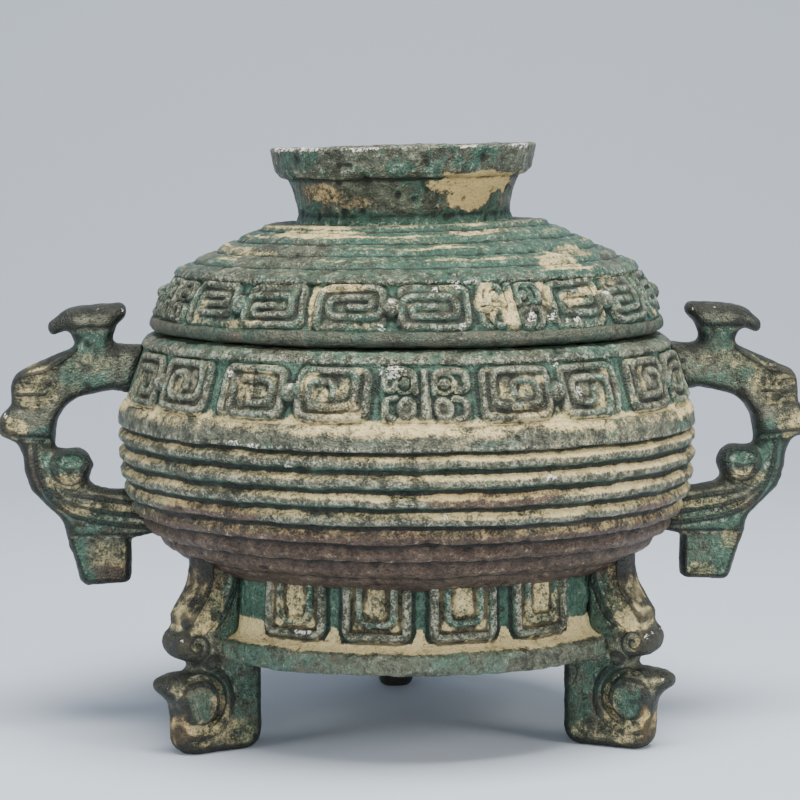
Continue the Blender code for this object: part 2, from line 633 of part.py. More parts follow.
def vessel():
    inner_width = BELLY_RADIUS - RIB_DEPTH - WALL
    inner_depth = BELLY_DEPTH - WALL
    ring_inside = RING_NECK_RADIUS - WALL
    fillet = RING_UNDERSIDE_Z + RING_FLANGE_HEIGHT + RING_FILLET_HEIGHT
    outside = [
        (INNER_FLOOR_RADIUS, BELLY_Z - belly_drop(INNER_FLOOR_RADIUS)),
        (0.65 * ring_inside, BELLY_Z - belly_drop(0.65 * ring_inside)),
        (ring_inside, BELLY_Z - belly_drop(ring_inside)),
        (ring_inside, fillet),
        (RING_FLANGE_RADIUS - WALL - RING_MOUTH_BEVEL, RING_UNDERSIDE_Z),
        (RING_FLANGE_RADIUS, RING_UNDERSIDE_Z),
        (RING_FLANGE_RADIUS - EDGE_DRAFT, fillet - RING_FILLET_HEIGHT),
        (RING_WAIST_RADIUS + 0.3 * RING_FLANGE_REACH, fillet - 0.7 * RING_FILLET_HEIGHT),
        (RING_WAIST_RADIUS, fillet),
    ]
    panel_index = len(outside) - 1
    outside.append((RING_NECK_RADIUS, RING_TOP_Z))
    outside += belly_profile()
    outside += [
        (BELLY_RADIUS - RIB_DEPTH, BELLY_Z + RIB_START + RIB_GROOVE_FLAT),
        (BELLY_RADIUS, BELLY_Z + RIB_START + RIB_GROOVE_FLAT + RIB_GROOVE_RUN),
        (FRIEZE_BASE_RADIUS + FRIEZE_LEDGE, FRIEZE_Z - EDGE_DRAFT),
        (FRIEZE_BASE_RADIUS, FRIEZE_Z),
    ]
    frieze_index = len(outside) - 1
    top = FRIEZE_Z + FRIEZE_HEIGHT
    outside += [
        (FRIEZE_TOP_RADIUS, top),
        (FRIEZE_TOP_RADIUS - 0.35 * SHOULDER_RUN, top + 0.7 * SHOULDER_HEIGHT),
        (SEAT_RADIUS, SEAT_Z),
        (LIP_RADIUS, SEAT_Z),
        (LIP_RADIUS, SEAT_Z + LIP_HEIGHT),
    ]
    inside = [
        (LIP_RADIUS - LIP_WALL, SEAT_Z + LIP_HEIGHT),
        (LIP_RADIUS - LIP_WALL, SEAT_Z - 0.8 * WALL),
        (FRIEZE_TOP_RADIUS - WALL, top - WALL),
        (FRIEZE_BASE_RADIUS - WALL, FRIEZE_Z),
        (inner_width, BELLY_Z),
    ]
    for share in (0.5, 0.8):
        drop = share * inner_depth
        inside.append((belly_radius(drop, inner_width, inner_depth), BELLY_Z - drop))
    for radius in (2.3 * INNER_FLOOR_RADIUS, INNER_FLOOR_RADIUS):
        inside.append((radius, BELLY_Z - belly_drop(radius, inner_width, inner_depth)))
    bands = {panel_index: (ring_panels, 0.0), frieze_index: (bowl_frieze, 0.0)}
    return turned_form("vessel", outside + inside, bands, VESSEL_SEAM)


def lean(spot):
    """Tilts the crown of the lid towards -X, by nothing at the rim and fully from the crown up."""
    share = max(0.0, min(1.0, (spot.z - LID_EDGE_Z) / (CROWN_Z - LID_EDGE_Z)))
    slope = math.radians(LID_LEAN) * share
    return Vector((spot.x - slope * (spot.z - LID_EDGE_Z), spot.y, spot.z + slope * spot.x))


def lid():
    lip_side = LIP_RADIUS + LID_CLEARANCE
    frieze_top = LID_FRIEZE_Z + LID_FRIEZE_HEIGHT
    under_rim = CROWN_Z + KNOB_NECK_HEIGHT
    rim_low = under_rim + KNOB_UNDERCUT
    outside = [
        (SEAT_RADIUS, LID_Z),
        (LID_EDGE_RADIUS - 0.25 * LID_OVERHANG, LID_Z + 0.35 * LID_EDGE_HEIGHT),
        (LID_EDGE_RADIUS, LID_EDGE_Z),
        (LID_EDGE_RADIUS - EDGE_DRAFT, LID_FRIEZE_Z - EDGE_DRAFT),
        (LID_GROUND_RADIUS, LID_FRIEZE_Z),
    ]
    frieze_index = len(outside) - 1
    outside += [
        (LID_FRIEZE_TOP_RADIUS, frieze_top),
        (LID_FRIEZE_TOP_RADIUS + LID_GROUND_DEPTH, frieze_top + EDGE_DRAFT),
    ]
    corner = Vector((LID_FRIEZE_TOP_RADIUS, LID_SHOULDER_Z))
    for step in range(STEP_COUNT):
        outside.append(tuple(corner))
        corner += Vector((-STEP_TREAD, STEP_TREAD_RISE))
        outside.append(tuple(corner))
        corner += Vector((-STEP_RISER_RUN, STEP_RISER_RISE))
    outside += [
        (CROWN_RADIUS, CROWN_Z),
        (KNOB_NECK_RADIUS + KNOB_NECK_FILLET, CROWN_Z),
        (KNOB_NECK_RADIUS, CROWN_Z + 0.2 * KNOB_NECK_HEIGHT),
        (KNOB_NECK_RADIUS + 0.4 * KNOB_NECK_FLARE, CROWN_Z + 0.65 * KNOB_NECK_HEIGHT),
        (KNOB_NECK_RADIUS + KNOB_NECK_FLARE, under_rim),
        (KNOB_RIM_RADIUS - KNOB_RIM_TAPER - KNOB_RIM_ROUNDING, under_rim + 0.3 * KNOB_UNDERCUT),
        (KNOB_RIM_RADIUS - KNOB_RIM_TAPER, rim_low),
        (KNOB_RIM_RADIUS, KNOB_TOP_Z),
        (KNOB_RIM_RADIUS - KNOB_RIM_WALL, KNOB_TOP_Z),
        (KNOB_NECK_RADIUS + 0.5 * KNOB_NECK_FLARE - WALL, under_rim - KNOB_UNDERCUT),
        (KNOB_NECK_RADIUS - KNOB_CUP_WALL, CROWN_Z + KNOB_CUP_FLOOR),
    ]
    inside = [
        (0.6 * CROWN_RADIUS, CROWN_Z - WALL),
        (CROWN_RADIUS, CROWN_Z - 1.3 * WALL),
        (LID_FRIEZE_TOP_RADIUS - WALL, LID_SHOULDER_Z - 1.2 * WALL),
        (LIP_RADIUS, LID_FRIEZE_Z + 0.5 * LID_FRIEZE_HEIGHT),
        (lip_side, LID_Z + LIP_HEIGHT + LID_CLEARANCE),
        (lip_side, LID_Z),
    ]
    skin = outside[::-1]
    carved = len(skin) - 2 - frieze_index
    bands = {carved: (lid_frieze, LID_FRIEZE_BULGE)}
    return turned_form("lid", skin + inside[::-1], bands, LID_SEAM, lean)


def bronze(name, colour, metallic, roughness):
    finish = bpy.data.materials.new(name)
    finish.use_nodes = True
    shader = finish.node_tree.nodes["Principled BSDF"]
    shader.inputs["Base Color"].default_value = (*colour, 1.0)
    shader.inputs["Metallic"].default_value = metallic
    shader.inputs["Roughness"].default_value = roughness
    finish.diffuse_color = (*colour, 1.0)
    return finish


def cast_together(body, limbs):
    """Joins the limbs to the body as one casting."""
    group = bpy.data.collections.new("limbs")
    bpy.context.scene.collection.children.link(group)
    for piece in limbs:
        bpy.context.scene.collection.objects.unlink(piece)
        group.objects.link(piece)
        piece.hide_render = True
        piece.display_type = "WIRE"
    union = body.modifiers.new("cast_together", "BOOLEAN")
    union.operation = "UNION"
    union.solver = "EXACT"
    union.operand_type = "COLLECTION"
    union.collection = group


def main():
    for piece in list(bpy.data.objects):
        bpy.data.objects.remove(piece, do_unlink=True)
    bowl = vessel()
    limbs = []
    for azimuth in LEG_AZIMUTHS:
        limbs += leg(azimuth)
    for azimuth in HANDLE_AZIMUTHS:
        limbs += handle(azimuth)
    cast_together(bowl, limbs)
    bowl.data.materials.append(bronze("vessel_bronze", (0.20, 0.19, 0.14), 0.25, 0.65))
    cover = lid()
    cover.data.materials.append(bronze("lid_bronze", (0.15, 0.20, 0.16), 0.25, 0.62))


main()
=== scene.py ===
import math

import bpy
import numpy as np
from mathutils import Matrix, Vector
from mathutils.geometry import delaunay_2d_cdt


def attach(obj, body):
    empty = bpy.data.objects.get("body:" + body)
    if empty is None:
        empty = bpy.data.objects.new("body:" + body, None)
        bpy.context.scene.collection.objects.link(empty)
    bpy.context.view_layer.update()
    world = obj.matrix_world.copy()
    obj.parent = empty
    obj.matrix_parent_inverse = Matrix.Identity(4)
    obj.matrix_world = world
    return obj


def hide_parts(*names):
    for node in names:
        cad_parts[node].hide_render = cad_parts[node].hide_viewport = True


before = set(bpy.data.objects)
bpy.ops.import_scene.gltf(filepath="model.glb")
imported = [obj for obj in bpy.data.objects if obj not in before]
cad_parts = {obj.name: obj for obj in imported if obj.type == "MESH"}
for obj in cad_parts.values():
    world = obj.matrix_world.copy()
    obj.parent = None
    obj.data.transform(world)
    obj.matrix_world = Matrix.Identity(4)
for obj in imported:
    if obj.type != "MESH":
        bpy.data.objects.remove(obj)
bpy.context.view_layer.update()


# Ring foot. A low bronze wall with a heavy flange, cast in one with the bowl. Its raised panels were cut
# into the wax as nested tongues, and the hollow curve at their feet holds a line of packed earth.

def speckle(spots, size, seed):
    """Smooth random values in space, from -1 to 1, with features about this far apart."""
    table = np.random.default_rng(seed).uniform(-1, 1, (32, 32, 32))
    turned = spots @ np.array([[0.80, 0.36, -0.48], [-0.60, 0.48, -0.64], [0.0, 0.80, 0.60]]) / size
    low = np.floor(turned).astype(int)
    part = turned - low
    part = part * part * (3 - 2 * part)
    total = np.zeros(spots.shape[:-1])
    for corner in range(8):
        step = np.array([corner & 1, corner >> 1 & 1, corner >> 2 & 1])
        weight = np.prod(np.where(step, part, 1 - part), axis=-1)
        cell = (low + step) % 32
        total += weight * table[cell[..., 0], cell[..., 1], cell[..., 2]]
    return total


def cast_skin(spots, seed):
    """The uneven surface of a lost-wax casting: slow swells, grain and small pits."""
    swell = 0.00020 * speckle(spots, 0.011, seed) + 0.00014 * speckle(spots, 0.0042, seed + 1)
    grain = 0.00013 * speckle(spots, 0.0019, seed + 2) + 0.00009 * speckle(spots, 0.0011, seed + 3)
    pits = np.clip(speckle(spots, 0.0026, seed + 4) - 0.45, 0, 1) * 0.0009
    return swell + grain - pits


def ramp(low, high, value):
    """0 below low, 1 above high, and smooth between."""
    share = np.clip((value - low) / (high - low), 0, 1)
    return share * share * (3 - 2 * share)


def fade(low, high, value):
    """1 below low, 0 above high, and smooth between."""
    return 1 - ramp(low, high, value)


def blurred(values, count, step, softness, **ends):
    """Values along a line, a step apart, each blended with the count of values on both sides of it."""
    bell = np.exp(-0.5 * (np.arange(-count, count + 1) * step / softness) ** 2)
    return np.convolve(np.pad(values, count, **ends), bell / bell.sum(), "valid")


def distances(corners):
    """How far along its outline each corner lies."""
    return np.concatenate([[0], np.cumsum(np.hypot(*np.diff(corners, axis=0).T))])


def softened(corners, spacing, softness):
    """A profile of (radius, height) corners as evenly spaced points, with its corners rounded."""
    step = 0.00005
    corners = np.array(corners, float)
    along = distances(corners)
    fine = np.linspace(0, along[-1], int(along[-1] / step))
    path = [np.interp(fine, along, line) for line in corners.T]
    if softness:
        path = [blurred(line, 60, step, softness, mode="reflect", reflect_type="odd") for line in path]
    picks = np.linspace(0, len(fine) - 1, max(2, int(round(along[-1] / spacing)) + 1)).astype(int)
    return np.stack(path, axis=1)[picks]


# The tints kept on every point of a piece. The last one marks painted highlights: small pale glints on edges,
# bosses and rims.
TINTS = ("level", "earth", "green", "copper", "painted_glint")


def ragged_edge(spots, seed):
    """Small random values that break up the edge of a stain."""
    return 0.30 * speckle(spots, 0.0050, seed + 5) + 0.25 * speckle(spots, 0.0018, seed + 6)


def round_axis(azimuth, radius, height):
    """Points round the upright axis: azimuth 0 is the front, towards -Y, and 90 is towards +X."""
    turn = np.radians(azimuth)
    return np.stack(np.broadcast_arrays(radius * np.sin(turn), -radius * np.cos(turn), height), axis=-1)


def spread_mean(values, reach):
    """The mean of each value's neighbourhood on a grid that closes on itself along its second axis."""
    total = np.zeros_like(values)
    for shift in range(-reach, reach + 1):
        total += np.roll(values, shift, axis=1)
    padded = np.pad(total, ((reach, reach), (0, 0)), mode="edge")
    result = np.zeros_like(values)
    for shift in range(2 * reach + 1):
        result += padded[shift:shift + len(values)]
    return result / (2 * reach + 1) ** 2


def show(name, vertices, faces, tints):
    """Makes the piece, smooth, with its tints stored on the vertices."""
    data = bpy.data.meshes.new(name)
    data.from_pydata(vertices, [], faces)
    data.shade_smooth()
    for tint, values in tints.items():
        layer = data.attributes.new(tint, "FLOAT", "POINT")
        layer.data.foreach_set("value", np.asarray(values, np.float32).ravel())
    piece = bpy.data.objects.new(name, data)
    bpy.context.scene.collection.objects.link(piece)
    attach(piece, "root")
    return piece


class Turned:
    """A turned piece as a grid of profile rows by azimuths, with its carving and its tints."""

    def __init__(self, profile, columns, seed, relief=None, closed=True):
        profile = np.asarray(profile)
        count = len(profile)
        radius, height = profile[:, :1], profile[:, 1:]
        ahead = np.gradient(profile, axis=0)
        if closed:
            ahead[0] = profile[1] - profile[-1]
            ahead[-1] = profile[0] - profile[-2]
        normal = np.stack([ahead[:, 1], -ahead[:, 0]], axis=1)
        normal /= np.maximum(np.linalg.norm(normal, axis=1), 1e-9)[:, None]
        azimuths = np.arange(columns)[None, :] * 360 / columns - 180
        plain = round_axis(azimuths, radius, height)
        sway = 0.00025 * speckle(plain, 0.0045, seed + 7) + 0.00012 * speckle(plain, 0.0018, seed + 10)
        self.azimuth = azimuths + np.degrees(sway / np.maximum(radius, 0.01))
        rise = 0.00024 * speckle(plain, 0.0065, seed + 8) + 0.00014 * speckle(plain, 0.0022, seed + 11)
        self.height = height + rise
        self.radius = radius
        self.carving = np.zeros((count, columns))
        if relief:
            wear = 1 - 0.25 * ramp(0.0, 0.8, speckle(plain, 0.0070, seed + 9))
            self.carving = relief(self.azimuth, self.height) * wear
        lift = self.carving + cast_skin(plain, seed)
        self.spots = round_axis(azimuths, radius + normal[:, :1] * lift, height + normal[:, 1:] * lift)
        rows = np.arange(count if closed else count - 1)
        low, side = np.meshgrid(rows, np.arange(columns), indexing="ij")
        high, beside = (low + 1) % count, (side + 1) % columns
        self.faces = np.stack([low * columns + side, low * columns + beside,
                               high * columns + beside, high * columns + side], axis=-1).reshape(-1, 4)
        across = np.roll(self.spots, -1, axis=1) - np.roll(self.spots, 1, axis=1)
        facing = np.cross(across, np.gradient(self.spots, axis=0))
        facing /= np.maximum(np.linalg.norm(facing, axis=2), 1e-12)[:, :, None]
        level = np.zeros((count, columns))
        for axis in range(3):
            level += (self.spots[:, :, axis] - spread_mean(self.spots[:, :, axis], 3)) * facing[:, :, axis]
        self.ragged = ragged_edge(plain, seed)
        self.tints = dict.fromkeys(TINTS, np.zeros((count, columns)))
        self.tints["level"] = np.clip(level / 0.00030, -1, 1)

    def near(self, azimuth, height, wide, tall):
        """A soft mark round a place, for stained spots and painted highlights alike, in degrees and metres,
        with a ragged edge.
        """
        turn = (self.azimuth - azimuth + 180) % 360 - 180
        return fade(0.7, 1.2, np.hypot(turn / wide, (self.height - height) / tall) + self.ragged)

    # Raises a tint to at least an amount; used for stained spots, painted shade and painted highlights alike.
    def apply_tint(self, tint, amount):
        self.tints[tint] = np.maximum(self.tints[tint], amount)

    def marks(self, tint, places, shown=1):
        """Marks of a tint at places, stained spots and painted highlights alike: the azimuth and height of
        each, its half width and half height, its strength.
        """
        for azimuth, height, wide, tall, strength in places:
            self.apply_tint(tint, strength * self.near(azimuth, height, wide, tall) * shown)

    def show(self, name, moved=lambda spots: spots):
        """Makes the piece, with all its points moved first where it leans."""
        return show(name, moved(self.spots).reshape(-1, 3), self.faces, self.tints)


class Value:
    """A number in the shader, so that its sums read as plain arithmetic."""

    def __init__(self, nodes, socket):
        self.nodes = nodes
        self.socket = socket

    def combine(self, operation, *others):
        inputs = dict(enumerate([self, *others]))
        return Value(self.nodes, self.nodes.add("ShaderNodeMath", {"operation": operation}, inputs))

    def __add__(self, other):
        return self.combine("ADD", other)

    def __sub__(self, other):
        return self.combine("SUBTRACT", other)

    def __mul__(self, other):
        return self.combine("MULTIPLY", other)

    __radd__ = __add__
    __rmul__ = __mul__

    def __rsub__(self, other):
        return self * -1 + other

    def over(self, low, high):
        """0 below low, 1 above high, and smooth between."""
        settings = {"interpolation_type": "SMOOTHSTEP"}
        inputs = {"Value": self.socket, "From Min": low, "From Max": high}
        return Value(self.nodes, self.nodes.add("ShaderNodeMapRange", settings, inputs))


class Finish:
    """One material and the nodes that colour it."""

    def __init__(self, name):
        self.material = bpy.data.materials.new(name)
        self.material.use_nodes = True
        self.tree = self.material.node_tree
        self.shader = self.tree.nodes["Principled BSDF"]

    def add(self, kind, settings, inputs, output=0):
        node = self.tree.nodes.new(kind)
        for key, value in settings.items():
            setattr(node, key, value)
        for key, value in inputs.items():
            if isinstance(value, Value):
                value = value.socket
            if isinstance(value, bpy.types.NodeSocket):
                self.tree.links.new(value, node.inputs[key])
            else:
                node.inputs[key].default_value = value
        return node.outputs[output]

    def tint(self, name):
        return Value(self, self.add("ShaderNodeAttribute", {"attribute_name": name}, {}, "Fac"))

    def noise(self, scale, detail):
        """Noise in the object's own space, spread out to run from about -1 to 1."""
        place = self.add("ShaderNodeTexCoord", {}, {}, "Object")
        inputs = {"Vector": place, "Scale": scale, "Detail": detail, "Roughness": 0.6}
        return (Value(self, self.add("ShaderNodeTexNoise", {}, inputs, "Fac")) - 0.5) * 5

    def blend(self, share, under, over):
        """The colour over laid on the colour under by a share."""
        return self.add("ShaderNodeMix", {"data_type": "RGBA"}, {0: share, 6: under, 7: over}, 2)

    def feed(self, name, value):
        self.tree.links.new(value.socket if isinstance(value, Value) else value, self.shader.inputs[name])


def bronze_finish(name, grey, light_green):
    """Buried bronze: dark metal, green corrosion, worn high spots, earth packed into the carving, painted
    shade that blackens the recesses and painted highlights on small spots.
    """
    finish = Finish(name)
    level, earth, green, copper, painted_glint = [finish.tint(tint) for tint in TINTS]
    broad, cloud = finish.noise(55, 3), finish.noise(260, 3)
    grain, fleck = finish.noise(900, 3), finish.noise(2300, 2)
    # The first colour is the blackish tone of the painted shade in the recesses; the second is the metal's
    # own dark tone.
    painted_shade_black, dark = (0.006, 0.008, 0.007, 1), (0.026, 0.031, 0.021, 1)
    # The second colour is the near-white of the painted highlights.
    pale, glint_white = (0.46, 0.47, 0.37, 1), (0.85, 0.84, 0.78, 1)
    deep_green = (0.016, 0.058, 0.044, 1)
    brown, rust = (0.035, 0.019, 0.013, 1), (0.135, 0.082, 0.056, 1)
    olive, clay, pink = (0.29, 0.255, 0.120, 1), (0.45, 0.36, 0.165, 1), (0.36, 0.26, 0.16, 1)
    soil, ochre = (0.73, 0.61, 0.32, 1), (0.60, 0.42, 0.16, 1)
    fine = grain * 0.5 + fleck * 0.5
    colour = finish.blend((cloud * 0.6 + fine * 0.9).over(-0.9, 1.0), dark, grey)
    patina = (green * 1.7 - 0.9 + broad * 0.5 + cloud * 0.4 + fine * 0.5 - level * 0.3).over(-0.35, 0.55)
    greens = finish.blend((cloud * 0.3 + fine).over(-0.8, 1.0), deep_green, light_green)
    colour = finish.blend(patina * 0.9, colour, greens)
    reddened = (copper * 1.7 - 0.85 + cloud * 0.3 + fine * 0.4).over(-0.4, 0.4)
    browns = finish.blend((cloud * 0.4 + fine + level * 0.5).over(-0.6, 1.2), brown, rust)
    colour = finish.blend(reddened * 0.9, colour, browns)
    worn = (level * 0.7 + fine * 1.3 + cloud * 0.3 - reddened * 0.4).over(0.45, 1.5)
    colour = finish.blend(worn * 0.8, colour, pale)
    packed = (earth * 1.75 - 0.95 + cloud * 0.30 + fine * 0.65).over(-0.35, 0.65)
    thin = finish.blend(copper * 0.8, finish.blend((cloud + fine).over(-0.6, 0.9), olive, clay), pink)
    thick = finish.blend((cloud * 0.4 + fine).over(-1.1, 0.4), clay, finish.blend(copper * 0.8, soil, ochre))
    earthy = finish.blend((earth + cloud * 0.12 + fine * 0.15).over(0.45, 0.90), thin, thick)
    colour = finish.blend(packed * 0.92, colour, earthy)
    # Painted shade: points that lie below their neighbours are blended to a blackish tone.
    painted_recess_shade = (level * -1.3 + fine * 0.5 - packed * 0.5).over(0.10, 0.85)
    colour = finish.blend(painted_recess_shade * 0.85, colour, painted_shade_black)
    # Painted highlights: the marked glints are blended towards near-white.
    colour = finish.blend((painted_glint * 1.6 - 1.2 + fine * 1.2).over(-0.10, 0.35), colour, glint_white)
    finish.feed("Base Color", colour)
    finish.feed("Roughness", 0.47 + packed * 0.38 - worn * 0.10)
    finish.feed("Metallic", (1 - packed) * 0.2)
    height = cloud * 0.25 + grain * 0.35 + fleck * 0.35 + packed * 0.15
    bump = finish.add("ShaderNodeBump", {}, {"Strength": 0.9, "Distance": 0.0005, "Height": height})
    finish.feed("Normal", bump)
    return finish.material


vessel_bronze = bronze_finish("vessel_bronze", (0.205, 0.215, 0.150, 1), (0.085, 0.190, 0.140, 1))


def dress_vessel(piece):
    piece.data.materials.append(vessel_bronze)
    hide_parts("vessel")


def tongue(beside, above, half, corner):
    """How far inside a tongue each point lies: straight sides, open above, with a rounded foot."""
    to_side = half - np.abs(beside)
    rounded = corner - np.hypot(corner - to_side, corner - above)
    return np.where((to_side < corner) & (above < corner), rounded, np.minimum(to_side, above))


def band(inside, width):
    """A raised line that runs along just inside an edge."""
    return ramp(-0.0002, 0.0004, inside) * fade(width - 0.0003, width + 0.0002, inside)


PANEL_PITCH = 22.6
PANEL_RADIUS = 0.0508
PANEL_FOOT = 0.0282
PANEL_HALF = 0.0080
PANEL_CORNER = 0.0026


def panel_place(azimuth, height):
    """Each point's place on the nearest of the four panels between two legs: sideways and up."""
    sector = (azimuth + 60) % 120 - 60
    middle = (np.clip(np.round(sector / PANEL_PITCH - 0.5), -2, 1) + 0.5) * PANEL_PITCH
    return np.radians(sector - middle) * PANEL_RADIUS, height - PANEL_FOOT


def panel_lines(beside, above):
    """The raised lines of a panel, one inside the other: the rim, a second tongue and its heart."""
    rim = band(tongue(beside, above, PANEL_HALF, PANEL_CORNER), 0.0021)
    inner = band(tongue(beside, above - 0.0032, 0.0048, 0.0033), 0.0016)
    heart = band(tongue(beside, above - 0.0059, 0.0020, 0.0019), 0.0030)
    return rim, inner, heart


def ring_relief(azimuth, height):
    beside, above = panel_place(azimuth, height)
    rim, inner, heart = panel_lines(beside, above)
    floor = 0.0004 * ramp(-0.0002, 0.0004, tongue(beside, above, PANEL_HALF, PANEL_CORNER))
    lines = 0.0014 * np.maximum.reduce([rim, 0.95 * inner, 0.7 * heart])
    return np.maximum(floor, lines) * (height > 0.0276)


ring_flange = [(0.0505, 0.0214), (0.0530, 0.0214), (0.0537, 0.0224), (0.0535, 0.0258), (0.0524, 0.0264)]
ring_fillet = [(0.0508, 0.0270), (0.0497, 0.0282), (0.0491, 0.0300)]
ring_wall = [(0.0488, 0.0398), (0.0490, 0.0420)]
ring_outside = softened(ring_flange + ring_fillet + ring_wall, 0.00034, 0.00022)
ring_inside = softened([(0.0460, 0.0420), (0.0460, 0.0294), (0.0494, 0.0216)], 0.0025, 0.0)
ring = Turned(np.concatenate([ring_inside, ring_outside]), 820, 11, ring_relief)
beside, above = panel_place(ring.azimuth, ring.height)
rim, inner, heart = panel_lines(beside, above)
outer = tongue(beside, above, PANEL_HALF, PANEL_CORNER)
groove = ramp(0.0002, 0.0008, outer) * (1 - np.maximum(rim, inner)) * (above > 0)
wall = (ring.radius > 0.0480) & (ring.height > 0.0255)
wedge = 0.0030 * np.clip((np.abs(beside) - PANEL_HALF) / 0.0014, 0, 1)
packed = fade(-0.0004, 0.0006, above - wedge + 0.0012 * ring.ragged)
packed = packed * ramp(0.0258, 0.0266, ring.height) * (ring.carving < 0.0005)
ring.apply_tint("earth", wall * np.maximum(packed, groove * (0.74 + 0.5 * ring.ragged)))
ring.apply_tint("green", 0.95 * wall * fade(0.0, 0.0004, outer) * ramp(0.0, 0.002, above))
ring.apply_tint("green", wall * (0.85 * inner + 0.6 * ramp(-0.1, 0.3, ring.ragged)))
ring.marks("earth", [(-34, 0.0345, 6, 0.005, 0.62), (34, 0.0345, 6, 0.005, 0.62)], wall)
# A small painted highlight on the foot of a panel's raised rim.
ring.marks("painted_glint", [(-31, 0.0296, 2.6, 0.0009, 0.9)], wall)
flange = (ring.height < 0.0262) & (ring.radius > 0.0500)
ring.apply_tint("copper", 0.46 * flange * ramp(0.0, 0.3, ring.ragged))
ring.apply_tint("green", 0.50 * flange)
ring.tints["level"] = ring.tints["level"] * (1 - 0.7 * flange)
dress_vessel(ring.show("ring_foot"))


# Bowl. The deep bronze body with its shoulder and the upright lip for the lid, hollow inside. Its ribs were
# scraped into the turned wax, so they waver a little, and earth has settled on their upper slopes.

BELLY_RADIUS = 0.0678
BELLY_WIDEST_Z = 0.068022
BELLY_DEPTH = 0.0350
BELLY_FULLNESS = 2.6
RIB_TOP = 0.072322
RIB_PITCH = 0.00427
RIB_DEPTH = 0.0016


def belly_wall(height):
    """The radius of the bowl at a height: a full curve that drops in below its widest place."""
    drop = np.maximum(BELLY_WIDEST_Z - height, 0)
    return BELLY_RADIUS * (1 - (drop / BELLY_DEPTH) ** BELLY_FULLNESS) ** (1 / BELLY_FULLNESS)


def rib_share(height):
    """How far down its own rib each height is, from 0 in the groove above it to 1 in the groove below."""
    return (RIB_TOP - height) / RIB_PITCH % 1


def belly_relief(azimuth, height):
    share = rib_share(height)
    rib = ramp(0.02, 0.46, share) * fade(0.64, 0.98, share)
    ribbed = ramp(0.0425, 0.0440, height) * fade(RIB_TOP, RIB_TOP + 0.0004, height)
    return -RIB_DEPTH * (1 - rib) * ribbed


heights = np.linspace(0.0394, 0.0725, 60)
belly_profile = np.column_stack([belly_wall(heights), heights])
ledge_profile = [(0.0677, 0.0742), (0.0675, 0.0762), (0.0667, 0.0777), (0.0650, 0.0783)]
belly_profile = np.concatenate([[(0.0465, 0.0392)], belly_profile, ledge_profile])
belly = Turned(softened(belly_profile, 0.00034, 0.00012), 640, 23, belly_relief, closed=False)
share = rib_share(belly.height)
ribbed = (belly.height > 0.0430) & (belly.height < RIB_TOP + 0.0003)
turn = belly.azimuth
slope = ramp(0.02, 0.14, share) * fade(0.34, 0.60, share) * ribbed
rightward = 0.72 + 0.20 * ramp(-20, 35, turn)
# Earth thins out towards the bottom of the belly, which leaves it darker there: partly the bronze's own
# colour and partly painted shade under the swell of the bowl.
high_up = 0.05 + 0.58 * ramp(0.047, 0.054, belly.height)
high_up = high_up + 0.37 * ramp(0.052, 0.061, belly.height)
streak = speckle(belly.spots * (0.30, 0.30, 1.0), 0.0030, 29)
belly.apply_tint("earth", slope * rightward * high_up * (0.95 + 0.42 * streak))
# Painted shade: the lower, downward-facing slope of each rib is tinted dark green so that it reads as shaded.
painted_underside_shade = ramp(0.60, 0.78, share) * ribbed
belly.apply_tint("green", 0.85 * painted_underside_shade * ramp(0.050, 0.058, belly.height))
ledge = ramp(0.0740, 0.0768, belly.height + 0.002 * belly.ragged)
belly.apply_tint("earth", ledge * (0.72 + 0.45 * streak + 0.35 * belly.ragged))
belly.apply_tint("earth", 0.40 * ramp(-0.4, 0.3, streak) * ramp(-25, 5, turn)
                 * fade(60, 90, turn) * ramp(0.050, 0.062, belly.height))
# The lower belly turns red-brown, more strongly at the front and towards the bottom: its own red-brown
# corrosion, darkened towards the bottom as painted shade.
front = fade(50, 100, np.abs(turn))
low_down = fade(0.0500, 0.0600, belly.height + 0.004 * belly.ragged)
belly.apply_tint("copper", low_down * (0.56 + 0.44 * front))
belly.marks("copper", [
    (-44, 0.0560, 14, 0.004, 0.7), (12, 0.0620, 16, 0.0025, 0.7), (52, 0.0560, 10, 0.003, 0.7)])
clouded = ramp(-0.2, 0.2, belly.ragged)
belly.apply_tint("green", 0.62 * clouded * ramp(0.055, 0.070, belly.height))
belly.marks("green", [(-85, 0.055, 16, 0.020, 0.8), (88, 0.055, 16, 0.020, 0.8)])
# Painted highlights: small pale glints on the ribs.
glints = ((-37, 0.0733), (-33, 0.0729), (-26, 0.0690), (4, 0.0583), (24, 0.0660))
belly.marks("painted_glint", [(*place, 1.4, 0.0007, 0.8) for place in glints])
dress_vessel(belly.show("belly"))

hidden = [(0.0470, 0.0391), (0.0560, 0.0460), (0.0625, 0.0540), (0.0650, 0.0620), (0.0656, 0.0700),
          (0.0654, 0.0780), (0.0640, 0.0800), (0.0606, 0.0896)]
shoulder = [(0.0612, 0.0902), (0.0622, 0.0910), (0.0616, 0.0922), (0.0598, 0.0933), (0.0572, 0.0936),
            (0.0549, 0.0936), (0.0549, 0.0976), (0.0524, 0.0976)]
inside = [(0.0524, 0.0970), (0.0524, 0.0914), (0.0595, 0.0880), (0.0638, 0.0780), (0.0639, 0.0680),
          (0.0596, 0.0519), (0.0466, 0.0423), (0.0345, 0.0385), (0.0150, 0.0361), (0.0004, 0.0361)]
under = [(0.0004, 0.0333), (0.0150, 0.0333), (0.0299, 0.0347), (0.0462, 0.0390)]
bowl_profile = np.concatenate([
    softened(hidden, 0.0040, 0.0), softened(shoulder, 0.00045, 0.00020), softened(inside, 0.0036, 0.0),
    softened(under, 0.0050, 0.0)])
bowl = Turned(bowl_profile, 360, 27)
bowl.apply_tint("green", 0.7 * ramp(-0.3, 0.2, bowl.ragged))
bowl.apply_tint("green", 0.62 * (bowl.height > 0.0895))
